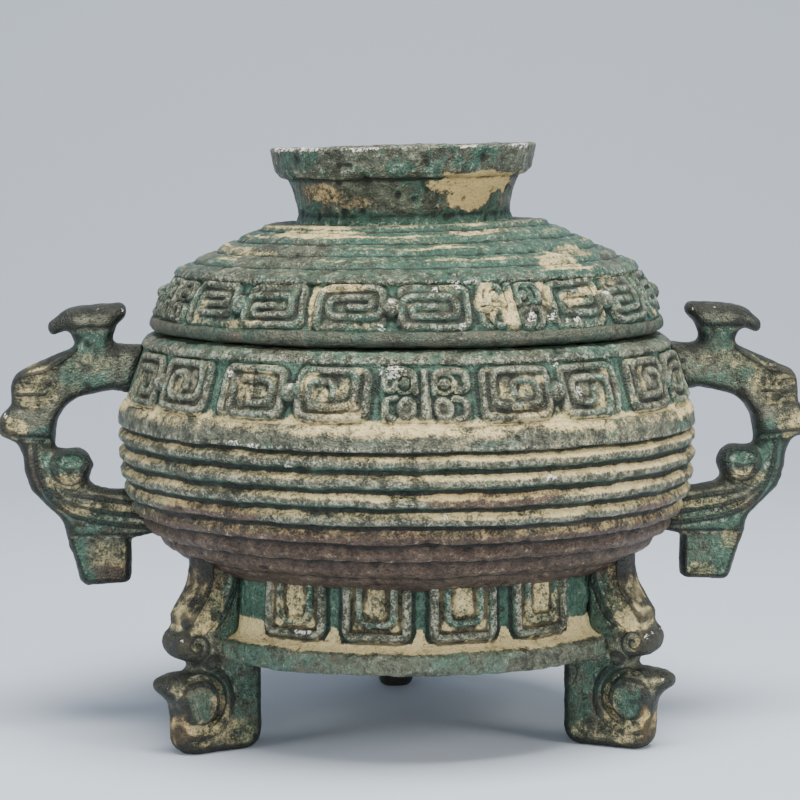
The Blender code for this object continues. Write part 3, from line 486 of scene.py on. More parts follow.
dress_vessel(bowl.show("bowl"))


# Frieze round the bowl. Pairs of squared scrolls with a boss between, and a beast's mask at the front and
# the back. They stand a millimetre proud of the bronze and are cast with it, as they were pressed into the
# mould in short lengths.

def rounded_path(corners, radius):
    """A path with each corner cut to a short curve."""
    corners = [np.array(corner, float) for corner in corners]
    path = [corners[0]]
    for back, here, ahead in zip(corners, corners[1:], corners[2:]):
        to_back, to_ahead = back - here, ahead - here
        cut = min(radius, 0.45 * np.linalg.norm(to_back), 0.45 * np.linalg.norm(to_ahead))
        start = here + to_back / np.linalg.norm(to_back) * cut
        end = here + to_ahead / np.linalg.norm(to_ahead) * cut
        for share in (0.0, 0.35, 0.65, 1.0):
            path.append((1 - share) ** 2 * start + 2 * share * (1 - share) * here + share ** 2 * end)
    path.append(corners[-1])
    return np.array(path)


def from_path(across, up, path):
    """The distance of each point from a path."""
    best = np.full(np.broadcast(across, up).shape, 1.0)
    for start, end in zip(path, path[1:]):
        along = end - start
        length = max(along @ along, 1e-12)
        out, over = across - start[0], up - start[1]
        share = np.clip((out * along[0] + over * along[1]) / length, 0, 1)
        best = np.minimum(best, np.hypot(out - share * along[0], over - share * along[1]))
    return best


def raised_line(distance, half):
    """A rounded line along a path, as a share of its own height."""
    return fade(half - 0.00040, half + 0.00020, distance)


def dome(across, up, radius):
    """A low round boss, as a share of its own height."""
    return np.sqrt(np.clip(1 - (across ** 2 + up ** 2) / radius ** 2, 0, 1))


def plate(across, up, half_width, half_height, corner):
    """A flat plate with rounded corners, as a share of its own height."""
    out = np.hypot(np.maximum(np.abs(across) - half_width + corner, 0),
                   np.maximum(np.abs(up) - half_height + corner, 0))
    return fade(corner - 0.0003, corner + 0.0003, out)


SCROLL_CORNER = 0.0026


def cup_scroll(wide, tall, pitch):
    """A squared scroll closed below, which winds in from its upper left corner."""
    return rounded_path([
        (-wide, tall), (-wide, -tall), (wide, -tall), (wide, tall), (-wide + pitch, tall),
        (-wide + pitch, -tall + pitch), (wide - pitch, -tall + pitch), (wide - pitch, tall - pitch),
        (-0.2 * pitch, tall - pitch), (-0.2 * pitch, -tall + 2 * pitch)], SCROLL_CORNER)


def hook_scroll(wide, tall, pitch):
    """A squared scroll that climbs its outer side, crosses the top and winds in below."""
    return rounded_path([
        (-wide, -tall), (-wide, tall), (wide, tall), (wide, -tall + pitch), (-wide + pitch, -tall + pitch),
        (-wide + pitch, tall - pitch), (wide - pitch, tall - pitch), (wide - pitch, 0.0),
        (0.0, 0.0)], SCROLL_CORNER)


def scroll_pair(across, up, half, half_height, scroll):
    """A boss between two scrolls, the second one turned half round, as the height of the carving."""
    gap, pitch, line = 0.0012, 0.0024, 0.00078
    boss_height, boss_radius = 0.0026, 0.0022
    wide, middle = (half - gap) / 2 - line, (half + gap) / 2
    tall = half_height - line
    path = scroll(wide, tall, pitch)
    first = from_path(across + middle, up, path)
    second = from_path(middle - across, -up, path)
    beside = np.minimum(np.abs(across + middle), np.abs(across - middle))
    ground = plate(beside, up, wide + line, half_height, 0.0024)
    lines = raised_line(np.minimum(first, second), line)
    return np.maximum(ground * (0.0006 + 0.0007 * lines), boss_height * dome(across, up, boss_radius))


def mask_relief(across, up, half, tall):
    """A beast's face: a nose ridge, curled brows, round eyes and long cheeks."""
    side = np.abs(across)
    lift = up / tall
    nose_half = 0.0011 - 0.0003 * lift
    nose = np.sqrt(np.clip(1 - (side / nose_half) ** 2, 0, 1)) * fade(0.88, 0.98, np.abs(lift))
    brow = rounded_path([
        (0.0019, 0.10 * tall), (0.0022, 0.80 * tall), (0.45 * half, 0.92 * tall), (0.90 * half, 0.86 * tall),
        (0.94 * half, 0.25 * tall), (0.72 * half, 0.12 * tall), (0.66 * half, 0.40 * tall)], 0.0020)
    jaw = rounded_path([
        (0.66 * half, -0.12 * tall), (0.90 * half, -0.20 * tall), (0.88 * half, -0.80 * tall),
        (0.70 * half, -0.92 * tall)], 0.0020)
    from_eye = side - 0.44 * half
    over_eye = up - 0.42 * tall
    socket = raised_line(np.abs(np.hypot(from_eye, over_eye) - 0.0021), 0.0004)
    cheek = np.hypot((side - 0.40 * half) / 0.0021, (up + 0.52 * tall) / (0.46 * tall))
    oval = fade(0.92, 1.08, cheek) * (0.55 + 0.45 * ramp(0.42, 0.62, cheek))
    brow_line = raised_line(from_path(side, up, brow), 0.00080)
    jaw_line = raised_line(from_path(side, up, jaw), 0.00075)
    ground = plate(across, up, half, tall, 0.0015)
    return np.maximum.reduce([
        0.0003 * ground, 0.0016 * nose, 0.0010 * np.maximum(brow_line, jaw_line), 0.0011 * oval,
        0.0013 * dome(from_eye, over_eye, 0.0013), 0.0009 * socket])


def frieze_relief(azimuth, height, run, rise, middle, radius, border, masks, pairs):
    """A carved band on a sloping wall: masks, and pairs of scrolls between them.

    The wall leans in by run over its rise, round its middle height and radius, with a plain border. The masks
    and the pairs each have their azimuths, the half width of one and how far from its middle it may reach.
    """
    lean = math.hypot(run, rise)
    up = (height - middle) * lean / rise
    half_height = lean / 2 - border
    scale = math.radians(1) * radius
    best = np.zeros(azimuth.shape)
    fronts, half, reach = masks
    for front in fronts:
        turn = (azimuth - front + 180) % 360 - 180
        mask = mask_relief(turn * scale, up, half * scale, half_height)
        best = np.maximum(best, mask * (np.abs(turn) < reach))
    centres, half, reach, scroll = pairs
    for centre, side in centres:
        across = side * ((azimuth - centre + 180) % 360 - 180) * scale
        pair = scroll_pair(across, up, half * scale, half_height, scroll)
        best = np.maximum(best, pair * (np.abs(across) < reach * scale))
    return best


def bowl_frieze_relief(azimuth, height):
    """A mask at the front and the back, and two pairs of scrolls on each side of it."""
    centres = [(front + side * turn, side) for front in (0, 180) for side in (-1, 1) for turn in (26.5, 61.8)]
    best = frieze_relief(
        azimuth, height, run=0.0043, rise=0.0128, middle=0.0844, radius=0.0645, border=0.0008,
        masks=((0, 180), 8.7, 9.2), pairs=(centres, 16.0, 17.4, cup_scroll))
    return best * ramp(0.0776, 0.0781, height) * fade(0.0906, 0.0911, height)


def stain_frieze(form, packed):
    """Greens the ground between the raised parts, packs the grooves with earth and returns the ground."""
    ground = fade(0.0002, 0.0006, form.carving)
    groove = (form.carving > 0.0003) * fade(0.0007, 0.0010, form.carving)
    form.apply_tint("green", ground)
    form.apply_tint("earth", groove * (packed + form.ragged))
    return ground


frieze_profile = [(0.0652, 0.0770), (0.0661, 0.0777), (0.0658, 0.0784), (0.0617, 0.0907), (0.0606, 0.0914)]
frieze = Turned(softened(frieze_profile, 0.00036, 0.0001), 1120, 31, bowl_frieze_relief, closed=False)
ground = stain_frieze(frieze, 0.46)
frieze.apply_tint("green", 0.66 * ramp(-0.25, 0.20, frieze.ragged))
near_foot = fade(0.0782, 0.0812, frieze.height + 0.003 * frieze.ragged)
frieze.apply_tint("earth", ground * near_foot)
frieze.marks("earth", [
    (-16, 0.0805, 6, 0.003, 0.7), (20, 0.0800, 9, 0.002, 0.6), (-36, 0.0850, 3, 0.004, 0.6)])
# Painted highlights: a pale highlight on the front mask's brow and small glints on the bosses and scrolls.
glints = ((-41, 0.0878), (28.0, 0.0905), (32, 0.0840), (27, 0.0856), (-26, 0.0856))
frieze.marks("painted_glint", [(-6, 0.0893, 3.4, 0.0024, 0.78)] + [(*place, 0.8, 0.0010, 0.8) for place in glints])
dress_vessel(frieze.show("bowl_frieze"))


# Legs. Each is a beast's head under the bowl, with a rolled snout, and below it the leg that curls outwards
# like a trunk. They were cast with the ring foot and stand at 120 degrees, one of them behind.

POINT_SPACING = 0.00032


def closed_outline(corners):
    """A closed outline as evenly spaced points, with its corners rounded."""
    step = 0.0001
    corners = np.array(corners + corners[:1], float)
    along = distances(corners)
    count = int(along[-1] / step)
    fine = np.linspace(0, along[-1], count, endpoint=False)
    path = [blurred(np.interp(fine, along, line), 40, step, 0.00045, mode="wrap") for line in corners.T]
    picks = np.linspace(0, count, int(along[-1] / POINT_SPACING), endpoint=False).astype(int)
    path = np.stack(path, axis=1)[picks]
    area = np.sum(path[:, 0] * np.roll(path[:, 1], -1) - np.roll(path[:, 0], -1) * path[:, 1])
    return path if area > 0 else path[::-1]


def within(across, up, outline):
    """Which points lie inside a closed outline."""
    inside = np.zeros(across.shape, bool)
    for start, end in zip(outline, np.roll(outline, -1, axis=0)):
        crosses = (start[1] > up) != (end[1] > up)
        reach = start[0] + (up - start[1]) * (end[0] - start[0]) / (end[1] - start[1] + 1e-15)
        inside ^= crosses & (across < reach)
    return inside


def averaged(spots, edges, times):
    """Moves every point half of the way to the middle of its neighbours, several times."""
    ends = np.concatenate([edges, edges[:, ::-1]])
    count = np.maximum(np.bincount(ends[:, 0], minlength=len(spots)), 1)[:, None]
    for _ in range(times):
        total = [np.bincount(ends[:, 0], spots[ends[:, 1], axis], len(spots)) for axis in range(3)]
        spots = spots + 0.5 * (np.stack(total, axis=1) / count - spots)
    return spots


def normals(spots, faces):
    """The direction that the surface faces at each point."""
    side = np.cross(spots[faces[:, 1]] - spots[faces[:, 0]], spots[faces[:, 2]] - spots[faces[:, 0]])
    total = np.stack([sum(np.bincount(faces[:, corner], side[:, axis], len(spots)) for corner in range(3))
                      for axis in range(3)], axis=1)
    return total / np.maximum(np.linalg.norm(total, axis=1), 1e-15)[:, None]


def flat_form(corners, rim, thickness, relief):
    """A casting that is flat on two sides: its outline, its rounded rim, its thickness and its carving."""
    outline = closed_outline(corners)
    low, high = outline.min(axis=0), outline.max(axis=0)
    steps = [np.arange(low[axis], high[axis], POINT_SPACING) for axis in (0, 1)]
    across, up = (grid.ravel() for grid in np.meshgrid(*steps))
    kept = within(across, up, outline)
    across, up = across[kept], up[kept]
    edge = from_path(across, up, np.concatenate([outline, outline[:1]]))
    kept = edge > 0.6 * POINT_SPACING
    flat = np.concatenate([outline, np.stack([across[kept], up[kept]], axis=1)])
    edge = np.concatenate([np.zeros(len(outline)), edge[kept]])
    count, ring = len(flat), len(outline)
    made = delaunay_2d_cdt([Vector(spot) for spot in flat], [], [list(range(ring))], 1, 1e-9)
    source = np.array([originals[0] if originals else -1 for originals in made[3]])
    plate = source[np.array([face[:] for face in made[2]])]
    plate = plate[(plate >= 0).all(axis=1)]
    side = np.sqrt(1 - (1 - np.clip(edge / rim, 0, 1)) ** 2)
    half = thickness(flat[:, 0], flat[:, 1]) * (0.45 + 0.55 * side)
    front = np.column_stack([flat, half])
    back = np.column_stack([flat, -half])
    spots = [front, back]
    rows = [np.arange(ring)]
    for row in (0.6, 0.2, -0.2, -0.6):
        rows.append(len(rows) * ring - ring + 2 * count + np.arange(ring))
        spots.append(np.column_stack([outline, row * half[:ring]]))
    rows.append(count + np.arange(ring))
    spots = np.concatenate(spots)
    faces = [plate, plate[:, ::-1] + count]
    for upper, lower in zip(rows, rows[1:]):
        beside_upper, beside_lower = np.roll(upper, -1), np.roll(lower, -1)
        faces.append(np.stack([upper, lower, beside_lower], axis=1))
        faces.append(np.stack([upper, beside_lower, beside_upper], axis=1))
    faces = np.concatenate(faces)
    edges = np.concatenate([faces[:, [0, 1]], faces[:, [1, 2]], faces[:, [2, 0]]])
    edges = np.unique(np.sort(edges, axis=1), axis=0)
    spots = averaged(spots, edges, 5)
    facing = normals(spots, faces)
    carved = relief(spots[:, 0], spots[:, 1]) * ramp(0.3, 0.9, np.abs(facing[:, 2]))
    spots = spots + np.column_stack([np.zeros((len(spots), 2)), carved * np.sign(facing[:, 2])])
    return spots, faces, edges


def stand(spots, azimuth):
    """Turns a flat form's reach, height and side into the upright plane at an azimuth."""
    turn = math.radians(azimuth)
    return np.column_stack([spots[:, 0] * math.sin(turn) + spots[:, 2] * math.cos(turn),
                            -spots[:, 0] * math.cos(turn) + spots[:, 2] * math.sin(turn), spots[:, 1]])


def finish_flat(name, form, azimuth, seed, stains_and_glints):
    """Stands the form in its place, roughens it, gives it its stained spots and painted highlights, and shows
    it. The places of these marks are in millimetres.
    """
    spots, faces, edges = form
    reach, height = spots[:, 0], spots[:, 1]
    spots = stand(spots, azimuth)
    spots = spots + 0.6 * normals(spots, faces) * cast_skin(spots, seed)[:, None]
    spots[:, 2] = np.maximum(spots[:, 2], 0)
    facing = normals(spots, faces)
    level = np.sum((spots - averaged(spots, edges, 14)) * facing, axis=1) / 0.00022
    ragged = ragged_edge(spots, seed)
    tints = dict.fromkeys(TINTS, np.zeros(len(spots)))
    tints["level"] = np.clip(level, -1, 1)
    for tint, *place, strength in stains_and_glints:
        across, up, wide, tall = np.array(place) / 1000
        near = fade(0.7, 1.2, np.hypot((reach - across) / wide, (height - up) / tall) + ragged)
        tints[tint] = np.maximum(tints[tint], strength * near)
    return show(name, spots, faces, tints)


def bow(across, up, radius, start, end):
    """Points along an arc about a middle, from one direction to another in degrees."""
    turns = np.radians(np.linspace(start, end, 9))
    return [(across + radius * math.cos(turn), up + radius * math.sin(turn)) for turn in turns]


SNOUT = (0.0604, 0.0253)
TRUNK_CURL = (0.0586, 0.0121)
forehead = [(0.0570, 0.0450), (0.0571, 0.0412), (0.0578, 0.0380), (0.0600, 0.0346), (0.0618, 0.0320),
            (0.0624, 0.0302)]
snout = bow(*SNOUT, 0.0039, 65, -100)
trunk_top = [(0.0585, 0.0196), (0.0592, 0.0188), (0.0641, 0.0188)]
trunk_tip = bow(0.0662, 0.0163, 0.0019, 85, -70)
shin = [(0.0650, 0.0130), (0.0638, 0.0114), (0.0633, 0.0090)]
toe = bow(0.0587, 0.0042, 0.0045, 0, -90)
heel = bow(0.0464, 0.0045, 0.0048, -90, -180)
calf = [*bow(0.0438, 0.0222, 0.0022, 180, 95), (0.0468, 0.0246), (0.0473, 0.0270)]
root = [(0.0473, 0.0408), (0.0482, 0.0419), (0.0560, 0.0456)]
leg_outline = forehead + snout + trunk_top + trunk_tip + shin + toe + heel + calf + root


def leg_thickness(reach, height):
    """Half the width of a leg from side to side: the head is broader and the trunk's tip is thinner."""
    head = ramp(0.0205, 0.0225, height)
    snout = fade(0.0036, 0.0042, np.hypot(reach - SNOUT[0], height - SNOUT[1]))
    trunk = ramp(0.0600, 0.0680, reach) * (1 - head)
    return 0.0042 + 0.0010 * head + 0.0006 * snout - 0.0018 * trunk


def leg_relief(reach, height):
    """The carving of a leg: the trunk's curl and its ripple below, a rimmed face and a rolled snout above."""
    curl_out = np.hypot(reach - TRUNK_CURL[0], height - TRUNK_CURL[1])
    turn = np.degrees(np.arctan2(height - TRUNK_CURL[1], reach - TRUNK_CURL[0])) % 360
    groove = fade(0.0004, 0.0009, np.abs(curl_out - 0.0056)) * ramp(50, 75, turn)
    groove = groove * fade(225, 250, turn)
    disc = fade(0.0050, 0.0056, curl_out) * (height < 0.0190)
    ripple = raised_line(np.abs(curl_out - 0.0082), 0.0008) * ramp(100, 130, turn)
    ripple = ripple * fade(280, 310, turn) * (height < 0.0190)
    lower = 0.0008 * disc + 0.0005 * ripple - 0.0016 * groove
    outer_rim = rounded_path([(0.0566, 0.0460), (0.0566, 0.0400), (0.0576, 0.0370), (0.0612, 0.0318)], 0.002)
    inner_rim = rounded_path([(0.0500, 0.0460), (0.0504, 0.0380), (0.0535, 0.0310), (0.0580, 0.0275)], 0.002)
    rim = np.minimum(from_path(reach, height, outer_rim), from_path(reach, height, inner_rim))
    snout_out = np.hypot(reach - SNOUT[0], height - SNOUT[1])
    twist = np.arctan2(height - SNOUT[1], reach - SNOUT[0])
    coil = np.abs((snout_out * 1000 / 1.9 - twist / (2 * math.pi) + 0.5) % 1 - 0.5) * 0.0019
    roll = raised_line(coil, 0.00045) * fade(0.0034, 0.0038, snout_out)
    upper = 0.0008 * raised_line(rim, 0.0010) * ramp(0.0275, 0.0290, height) + 0.0006 * roll
    below = fade(0.0190, 0.0200, height)
    return lower * below + upper * (1 - below) + 0.0008 * dome(reach - 0.0559, height - 0.0212, 0.0021)


leg_stains_and_glints = [
    ("green", 51, 34, 6, 12, 0.75), ("green", 53, 17, 5, 5, 0.75), ("earth", 58, 36.5, 3, 6, 0.58),
    ("earth", 59, 30.6, 4, 3.4, 0.8), ("copper", 58, 42, 8, 5, 0.6), ("earth", 62.5, 24, 3.6, 1.4, 0.55),
    ("earth", 62, 25, 3, 3, 0.5), ("earth", 54.5, 38, 2, 8, 0.55), ("earth", 64, 16, 3, 2.5, 0.5),
    ("earth", 59, 4, 6, 4, 0.6), ("earth", 54, 10, 3, 6, 0.5), ("green", 46, 12, 5, 11, 0.65),
    ("green", 59, 11, 3.6, 3.6, 0.75), ("earth", 50, 4, 6, 3.5, 0.5),
    # Painted highlights on the trunk's tip and on the snout's roll.
    ("painted_glint", 66.2, 16.4, 0.5, 0.7, 0.7), ("painted_glint", 63.2, 26.8, 0.5, 0.8, 0.62),
    ("copper", 62.5, 5, 1.2, 6, 0.9), ("earth", 62.5, 6, 1.2, 5, 0.75)]
leg_form = flat_form(leg_outline, 0.0022, leg_thickness, leg_relief)
for azimuth, place in ((-60, "left"), (60, "right"), (180, "back")):
    dress_vessel(finish_flat("leg_" + place, leg_form, azimuth, 71, leg_stains_and_glints))


# Handles. Each is a looped beast cast with the bowl: a crest on a stem, a blunt muzzle outside, a curled
# tongue inside and a plain tab hanging from the lower arm.

upper_arm = [(0.0612, 0.0909), (0.0675, 0.0908), (0.0690, 0.0914), (0.0692, 0.0928), (0.0682, 0.0954)]
crest_back = bow(0.0679, 0.0987, 0.0021, 235, 115)
crest_top = [(0.0715, 0.1004), (0.0762, 0.1000), (0.0790, 0.0994), (0.0808, 0.0985)]
beak = [*bow(0.0820, 0.0949, 0.0020, 68, -62), (0.0799, 0.0943), (0.0785, 0.0934), (0.0776, 0.0913)]
brow = [(0.0785, 0.0901), (0.0843, 0.0877), *bow(0.0880, 0.0807, 0.0048, 58, 0), (0.0928, 0.0768)]
muzzle = bow(0.0922, 0.0721, 0.0037, 55, -75)
shank_out = [(0.0914, 0.0677), (0.0902, 0.0649), (0.0899, 0.0614), (0.0884, 0.0566), (0.0820, 0.0503)]
tab = [(0.0809, 0.0489), (0.0799, 0.0444), (0.0782, 0.0392), *bow(0.0754, 0.0361, 0.0020, 0, -90),
       *bow(0.0668, 0.0363, 0.0017, -95, -180), (0.0651, 0.0452)]
lower_arm = [(0.0577, 0.0468), (0.0628, 0.0540), (0.0640, 0.0573), (0.0685, 0.0567), (0.0734, 0.0576),
             (0.0749, 0.0588)]
tongue_back = [*bow(0.0782, 0.0624, 0.00425, 215, 100), (0.0805, 0.0663), (0.0825, 0.0666)]
shank_in = [(0.0828, 0.0685), *bow(0.0734, 0.0701, 0.0091, 12, 80), (0.0692, 0.0802), (0.0648, 0.0793),
            (0.0632, 0.0840)]
handle_outline = (upper_arm + crest_back + crest_top + beak + brow + muzzle + shank_out + tab + lower_arm
                  + tongue_back + shank_in)


def handle_thickness(reach, height):
    """Half the width of a handle from side to side: broader at the head and crest, thin at the beak."""
    head = ramp(0.0765, 0.0800, reach) * ramp(0.0688, 0.0696, height) * (height < 0.0905)
    crest = ramp(0.0943, 0.0950, height)
    beak = ramp(0.0785, 0.0795, reach) * (height > 0.0922)
    crest = np.maximum(crest, beak)
    taper = ramp(0.0780, 0.0845, reach) * (height > 0.0915)
    tongue = fade(0.0048, 0.0054, np.hypot(reach - 0.0792, height - 0.0619))
    tab = fade(0.0452, 0.0462, height)
    return 0.0040 + 0.0012 * head + 0.0015 * crest - 0.0024 * taper + 0.0009 * tongue - 0.0006 * tab


ridge_paths = [
    [(0.0800, 0.0560), (0.0740, 0.0552), (0.0670, 0.0540), (0.0600, 0.0528)],
    [(0.0862, 0.0612), (0.0838, 0.0566), (0.0790, 0.0536), (0.0700, 0.0516), (0.0600, 0.0503)],
    [(0.0872, 0.0676), (0.0868, 0.0620), (0.0838, 0.0548), (0.0780, 0.0506), (0.0690, 0.0488),
     (0.0600, 0.0480)]]
face_lines = [
    (-0.0006, [(0.0926, 0.0818), (0.0865, 0.0812)]), (-0.0006, [(0.0910, 0.0777), (0.0850, 0.0770)]),
    (-0.0009, [(0.0960, 0.0694), (0.0900, 0.0690), (0.0840, 0.0684)]),
    (0.0007, [(0.0776, 0.0900), (0.0812, 0.0872), (0.0845, 0.0850), (0.0905, 0.0838)]),
    (0.0005, [(0.0845, 0.0797), (0.0885, 0.0795), (0.0915, 0.0797)])]


def handle_relief(reach, height):
    """The carving of a handle: a hollowed tongue, fanned ridges, the lines of the face and a rimmed tab."""
    lip = raised_line(np.abs(np.hypot(reach - 0.0792, height - 0.0622) - 0.0034), 0.0010)
    lip = lip * fade(0.0618, 0.0636, height)
    hollow = fade(0.6, 1.1, np.hypot((reach - 0.0790) / 0.0032, (height - 0.0638) / 0.0017))
    ridges = np.zeros(reach.shape)
    for path in ridge_paths:
        ridges = np.maximum(ridges, raised_line(from_path(reach, height, rounded_path(path, 0.004)), 0.0008))
    carved = 0.0005 * lip - 0.0010 * hollow + 0.0006 * ridges
    for depth, path in face_lines:
        carved = carved + depth * raised_line(from_path(reach, height, np.array(path)), 0.0006)
    from_eye, over_eye = reach - 0.0838, height - 0.0822
    carved = carved + 0.0006 * dome(from_eye, over_eye, 0.0011)
    carved = carved + 0.0003 * raised_line(np.abs(np.hypot(from_eye, over_eye) - 0.0018), 0.0003)
    outer_edge = 0.0791 - reach + 0.35 * (height - 0.0420)
    tab_edge = np.minimum(np.minimum(reach - 0.0651, outer_edge), height - 0.0343)
    tab = fade(0.0450, 0.0456, height)
    carved = carved + 0.0005 * tab * fade(0.0012, 0.0016, tab_edge)
    crease = raised_line(np.abs(height - 0.0457), 0.0004) * (reach < 0.0800)
    return carved - 0.0005 * crease


handle_stains_and_glints = [
    ("earth", 87, 80, 7, 5, 0.54), ("earth", 92, 72, 5, 3.5, 0.66), ("earth", 86, 85.6, 6, 1.2, 0.58),
    ("earth", 70, 53, 10, 1.4, 0.58), ("earth", 79.6, 59, 5, 2, 0.66), ("earth", 78, 52.4, 6, 1.6, 0.55),
    ("green", 79, 64, 5, 2.6, 0.95), ("green", 73, 85.6, 11, 6, 0.52), ("earth", 75, 87, 9, 2.6, 0.44),
    ("green", 73, 92, 5, 4, 0.8), ("green", 86, 60, 4, 9, 0.75), ("green", 74, 50, 9, 5, 0.75),
    ("green", 85, 70, 5, 3, 0.7), ("green", 70, 82, 8, 2.5, 0.65),
    # Painted highlights on the crest and on the muzzle.
    ("painted_glint", 72.2, 99.2, 0.6, 0.4, 0.65), ("painted_glint", 66.8, 99, 0.5, 0.5, 0.7),
    ("painted_glint", 93.8, 74.5, 0.5, 0.9, 0.75)]
tab_stains = {
    "left": [
        ("earth", 70, 42, 6, 4, 0.52), ("green", 77, 42, 2, 6, 0.8), ("copper", 69, 37, 6, 3, 0.6),
        ("green", 74.5, 36.2, 3, 2, 0.9), ("copper", 88, 59, 2.6, 10, 0.62)],
    "right": [
        ("green", 72, 40, 9, 6, 0.6), ("earth", 70, 36.5, 4, 2.2, 0.6), ("earth", 77, 44, 3, 4, 0.5)]}
handle_form = flat_form(handle_outline, 0.0026, handle_thickness, handle_relief)
for azimuth, place in ((-90, "left"), (90, "right")):
    stains_and_glints = handle_stains_and_glints + tab_stains[place]
    dress_vessel(finish_flat("handle_" + place, handle_form, azimuth, 83, stains_and_glints))


# Lid. A loose domed cover, cast in a darker bronze, that sits on the bowl's shoulder round the lip. It has
# four turned steps and a flat crown, and it leans a little to the left.

LID_EDGE_Z = 0.096222
LID_RISE = 0.0232
LID_LEAN = math.radians(1.3)
STEP_COUNT = 4
STEP_TREAD = 0.0052
STEP_RISE = 0.0025

lid_bronze = bronze_finish("lid_bronze", (0.150, 0.170, 0.120, 1), (0.062, 0.160, 0.115, 1))


def dress_lid(piece):
    piece.data.materials.append(lid_bronze)
    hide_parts("lid")


def leaned(spots):
    """Tilts the points of the lid, by nothing at its edge and by its whole lean at the crown and above."""
    slope = LID_LEAN * np.clip((spots[..., 2] - LID_EDGE_Z) / LID_RISE, 0, 1)
    moved = spots.copy()
    moved[..., 0] = spots[..., 0] - slope * (spots[..., 2] - LID_EDGE_Z)
    moved[..., 2] = spots[..., 2] + slope * spots[..., 0]
    return moved


lid_edge = [(0.0553, 0.0939), (0.0572, 0.0939), (0.0594, 0.0946), (0.0602, 0.0956), (0.0601, 0.0966),
            (0.0596, 0.0975), (0.0584, 0.0977)]
lid_steps = [(0.0528, 0.1066), (0.0540, 0.1074), (0.0544, 0.1082)]
for step in range(STEP_COUNT):
    edge, top = 0.0540 - STEP_TREAD * step, 0.1094 + STEP_RISE * step
    lid_steps += [(edge - 0.0006, top + 0.0001), (edge - 0.0036, top + 0.0013), (edge - 0.0041, top + 0.0010),
                  (edge - 0.0046, top + 0.0013), (edge - 0.0051, top + 0.0021)]
lid_steps += [(0.0330, 0.1194), (0.0290, 0.1195), (0.0240, 0.1194)]
lid_inside = [(0.0240, 0.1166), (0.0332, 0.1158), (0.0512, 0.1060), (0.0549, 0.1025), (0.0555, 0.0985),
              (0.0555, 0.0942)]
lid_profile = np.concatenate([
    softened(lid_edge, 0.00045, 0.00020), softened(lid_steps, 0.00036, 0.00016),
    softened(lid_inside, 0.0036, 0.0)])
lid = Turned(lid_profile, 460, 47)
domed = lid.height > 0.1070
streak = speckle(lid.spots * (0.25, 0.25, 1.0), 0.0026, 49)
lid.apply_tint("green", (0.62 + 0.45 * streak + 0.25 * ramp(-45, -10, lid.azimuth)) * domed)
at_edge = lid.height < 0.0980
lid.apply_tint("green", 0.6 * at_edge)
lid.apply_tint("copper", 0.42 * at_edge)
lid.tints["level"] = lid.tints["level"] * np.where(at_edge, 0.3, 1.0)
nosing = fade(0.05, 0.16, np.abs((lid.height - 0.1095) / STEP_RISE % 1 - 0.15))
lid.apply_tint("earth", nosing * domed * (0.52 + 0.45 * streak))
lid.apply_tint("earth", 0.38 * domed * ramp(0.0, 0.6, streak))
plateau = ramp(0.1188, 0.1192, lid.height) * ramp(0.0262, 0.0275, lid.radius)
lid.apply_tint("earth", plateau * (0.54 + 0.45 * streak))
lid.marks("earth", [
    (-38, 0.1180, 22, 0.0008, 0.8), (24, 0.1178, 18, 0.0006, 0.7), (40, 0.1112, 7, 0.0016, 0.75),
    (52, 0.1130, 8, 0.0012, 0.65), (-62, 0.1140, 18, 0.0012, 0.6)])
# A painted highlight along the lid's lowest step.
lid.marks("painted_glint", [(10, 0.1078, 5, 0.0005, 0.8)])
dress_lid(lid.show("lid", leaned))


# Frieze round the lid. Its scrolls open the other way from those on the bowl, and a mask stands at each
# quarter. It is cast with the lid in bronze, stands under two millimetres proud and is thick with earth to
# the right.

def lid_frieze_relief(azimuth, height):
    """A mask at each quarter, and two pairs of scrolls between one mask and the next."""
    fronts = [20 + 90 * quarter for quarter in range(4)]
    centres = [(front + turn, 1) for front in fronts for turn in (26.7, 63.3)]
    best = frieze_relief(
        azimuth, height, run=0.0054, rise=0.0102, middle=0.10252, radius=0.0568, border=0.0003,
        masks=(fronts, 7.8, 8.2), pairs=(centres, 17.2, 18.2, hook_scroll))
    return best * ramp(0.0975, 0.0979, height) * fade(0.1071, 0.1075, height)


band_profile = [(0.0580, 0.0968), (0.0590, 0.0973), (0.0588, 0.0977), (0.0568, 0.1022), (0.0536, 0.1075),
                (0.0525, 0.1082)]
lid_band = Turned(softened(band_profile, 0.00036, 0.0001), 1060, 53, lid_frieze_relief, closed=False)
stain_frieze(lid_band, 0.34)
lid_band.apply_tint("green", 0.75 * ramp(-0.30, 0.15, lid_band.ragged + 0.15 * (lid_band.azimuth > -5)))
lid_band.marks("earth", [
    (15, 0.1035, 3.0, 0.0048, 0.80), (19, 0.1020, 2.4, 0.0050, 0.80), (29, 0.1045, 1.6, 0.0050, 0.80),
    (36, 0.1030, 4, 0.0016, 0.85), (42, 0.1045, 4, 0.0014, 0.75), (-24.5, 0.1020, 1.2, 0.0050, 0.80),
    (-19, 0.1064, 6, 0.0009, 0.80), (-42, 0.0985, 5, 0.0014, 0.60)])
# Painted highlights: small glints on the bosses and along the edges of the lid's frieze.
glints = ((-43.4, 0.1034), (-6.8, 0.1034), (46.7, 0.1034), (29.5, 0.1000), (24, 0.0998), (33, 0.0990),
          (-9, 0.0984), (8, 0.0984), (36, 0.0990), (3, 0.1062), (8, 0.1064))
lid_band.marks("painted_glint", [(*place, 1.0, 0.0009, 0.78) for place in glints])
dress_lid(lid_band.show("lid_frieze", leaned))


# Ring knob. A flared neck with a heavy rim, of the same bronze, cast on the crown of the lid. It is hollow
# above like a low cup, so that fingers can grip it.

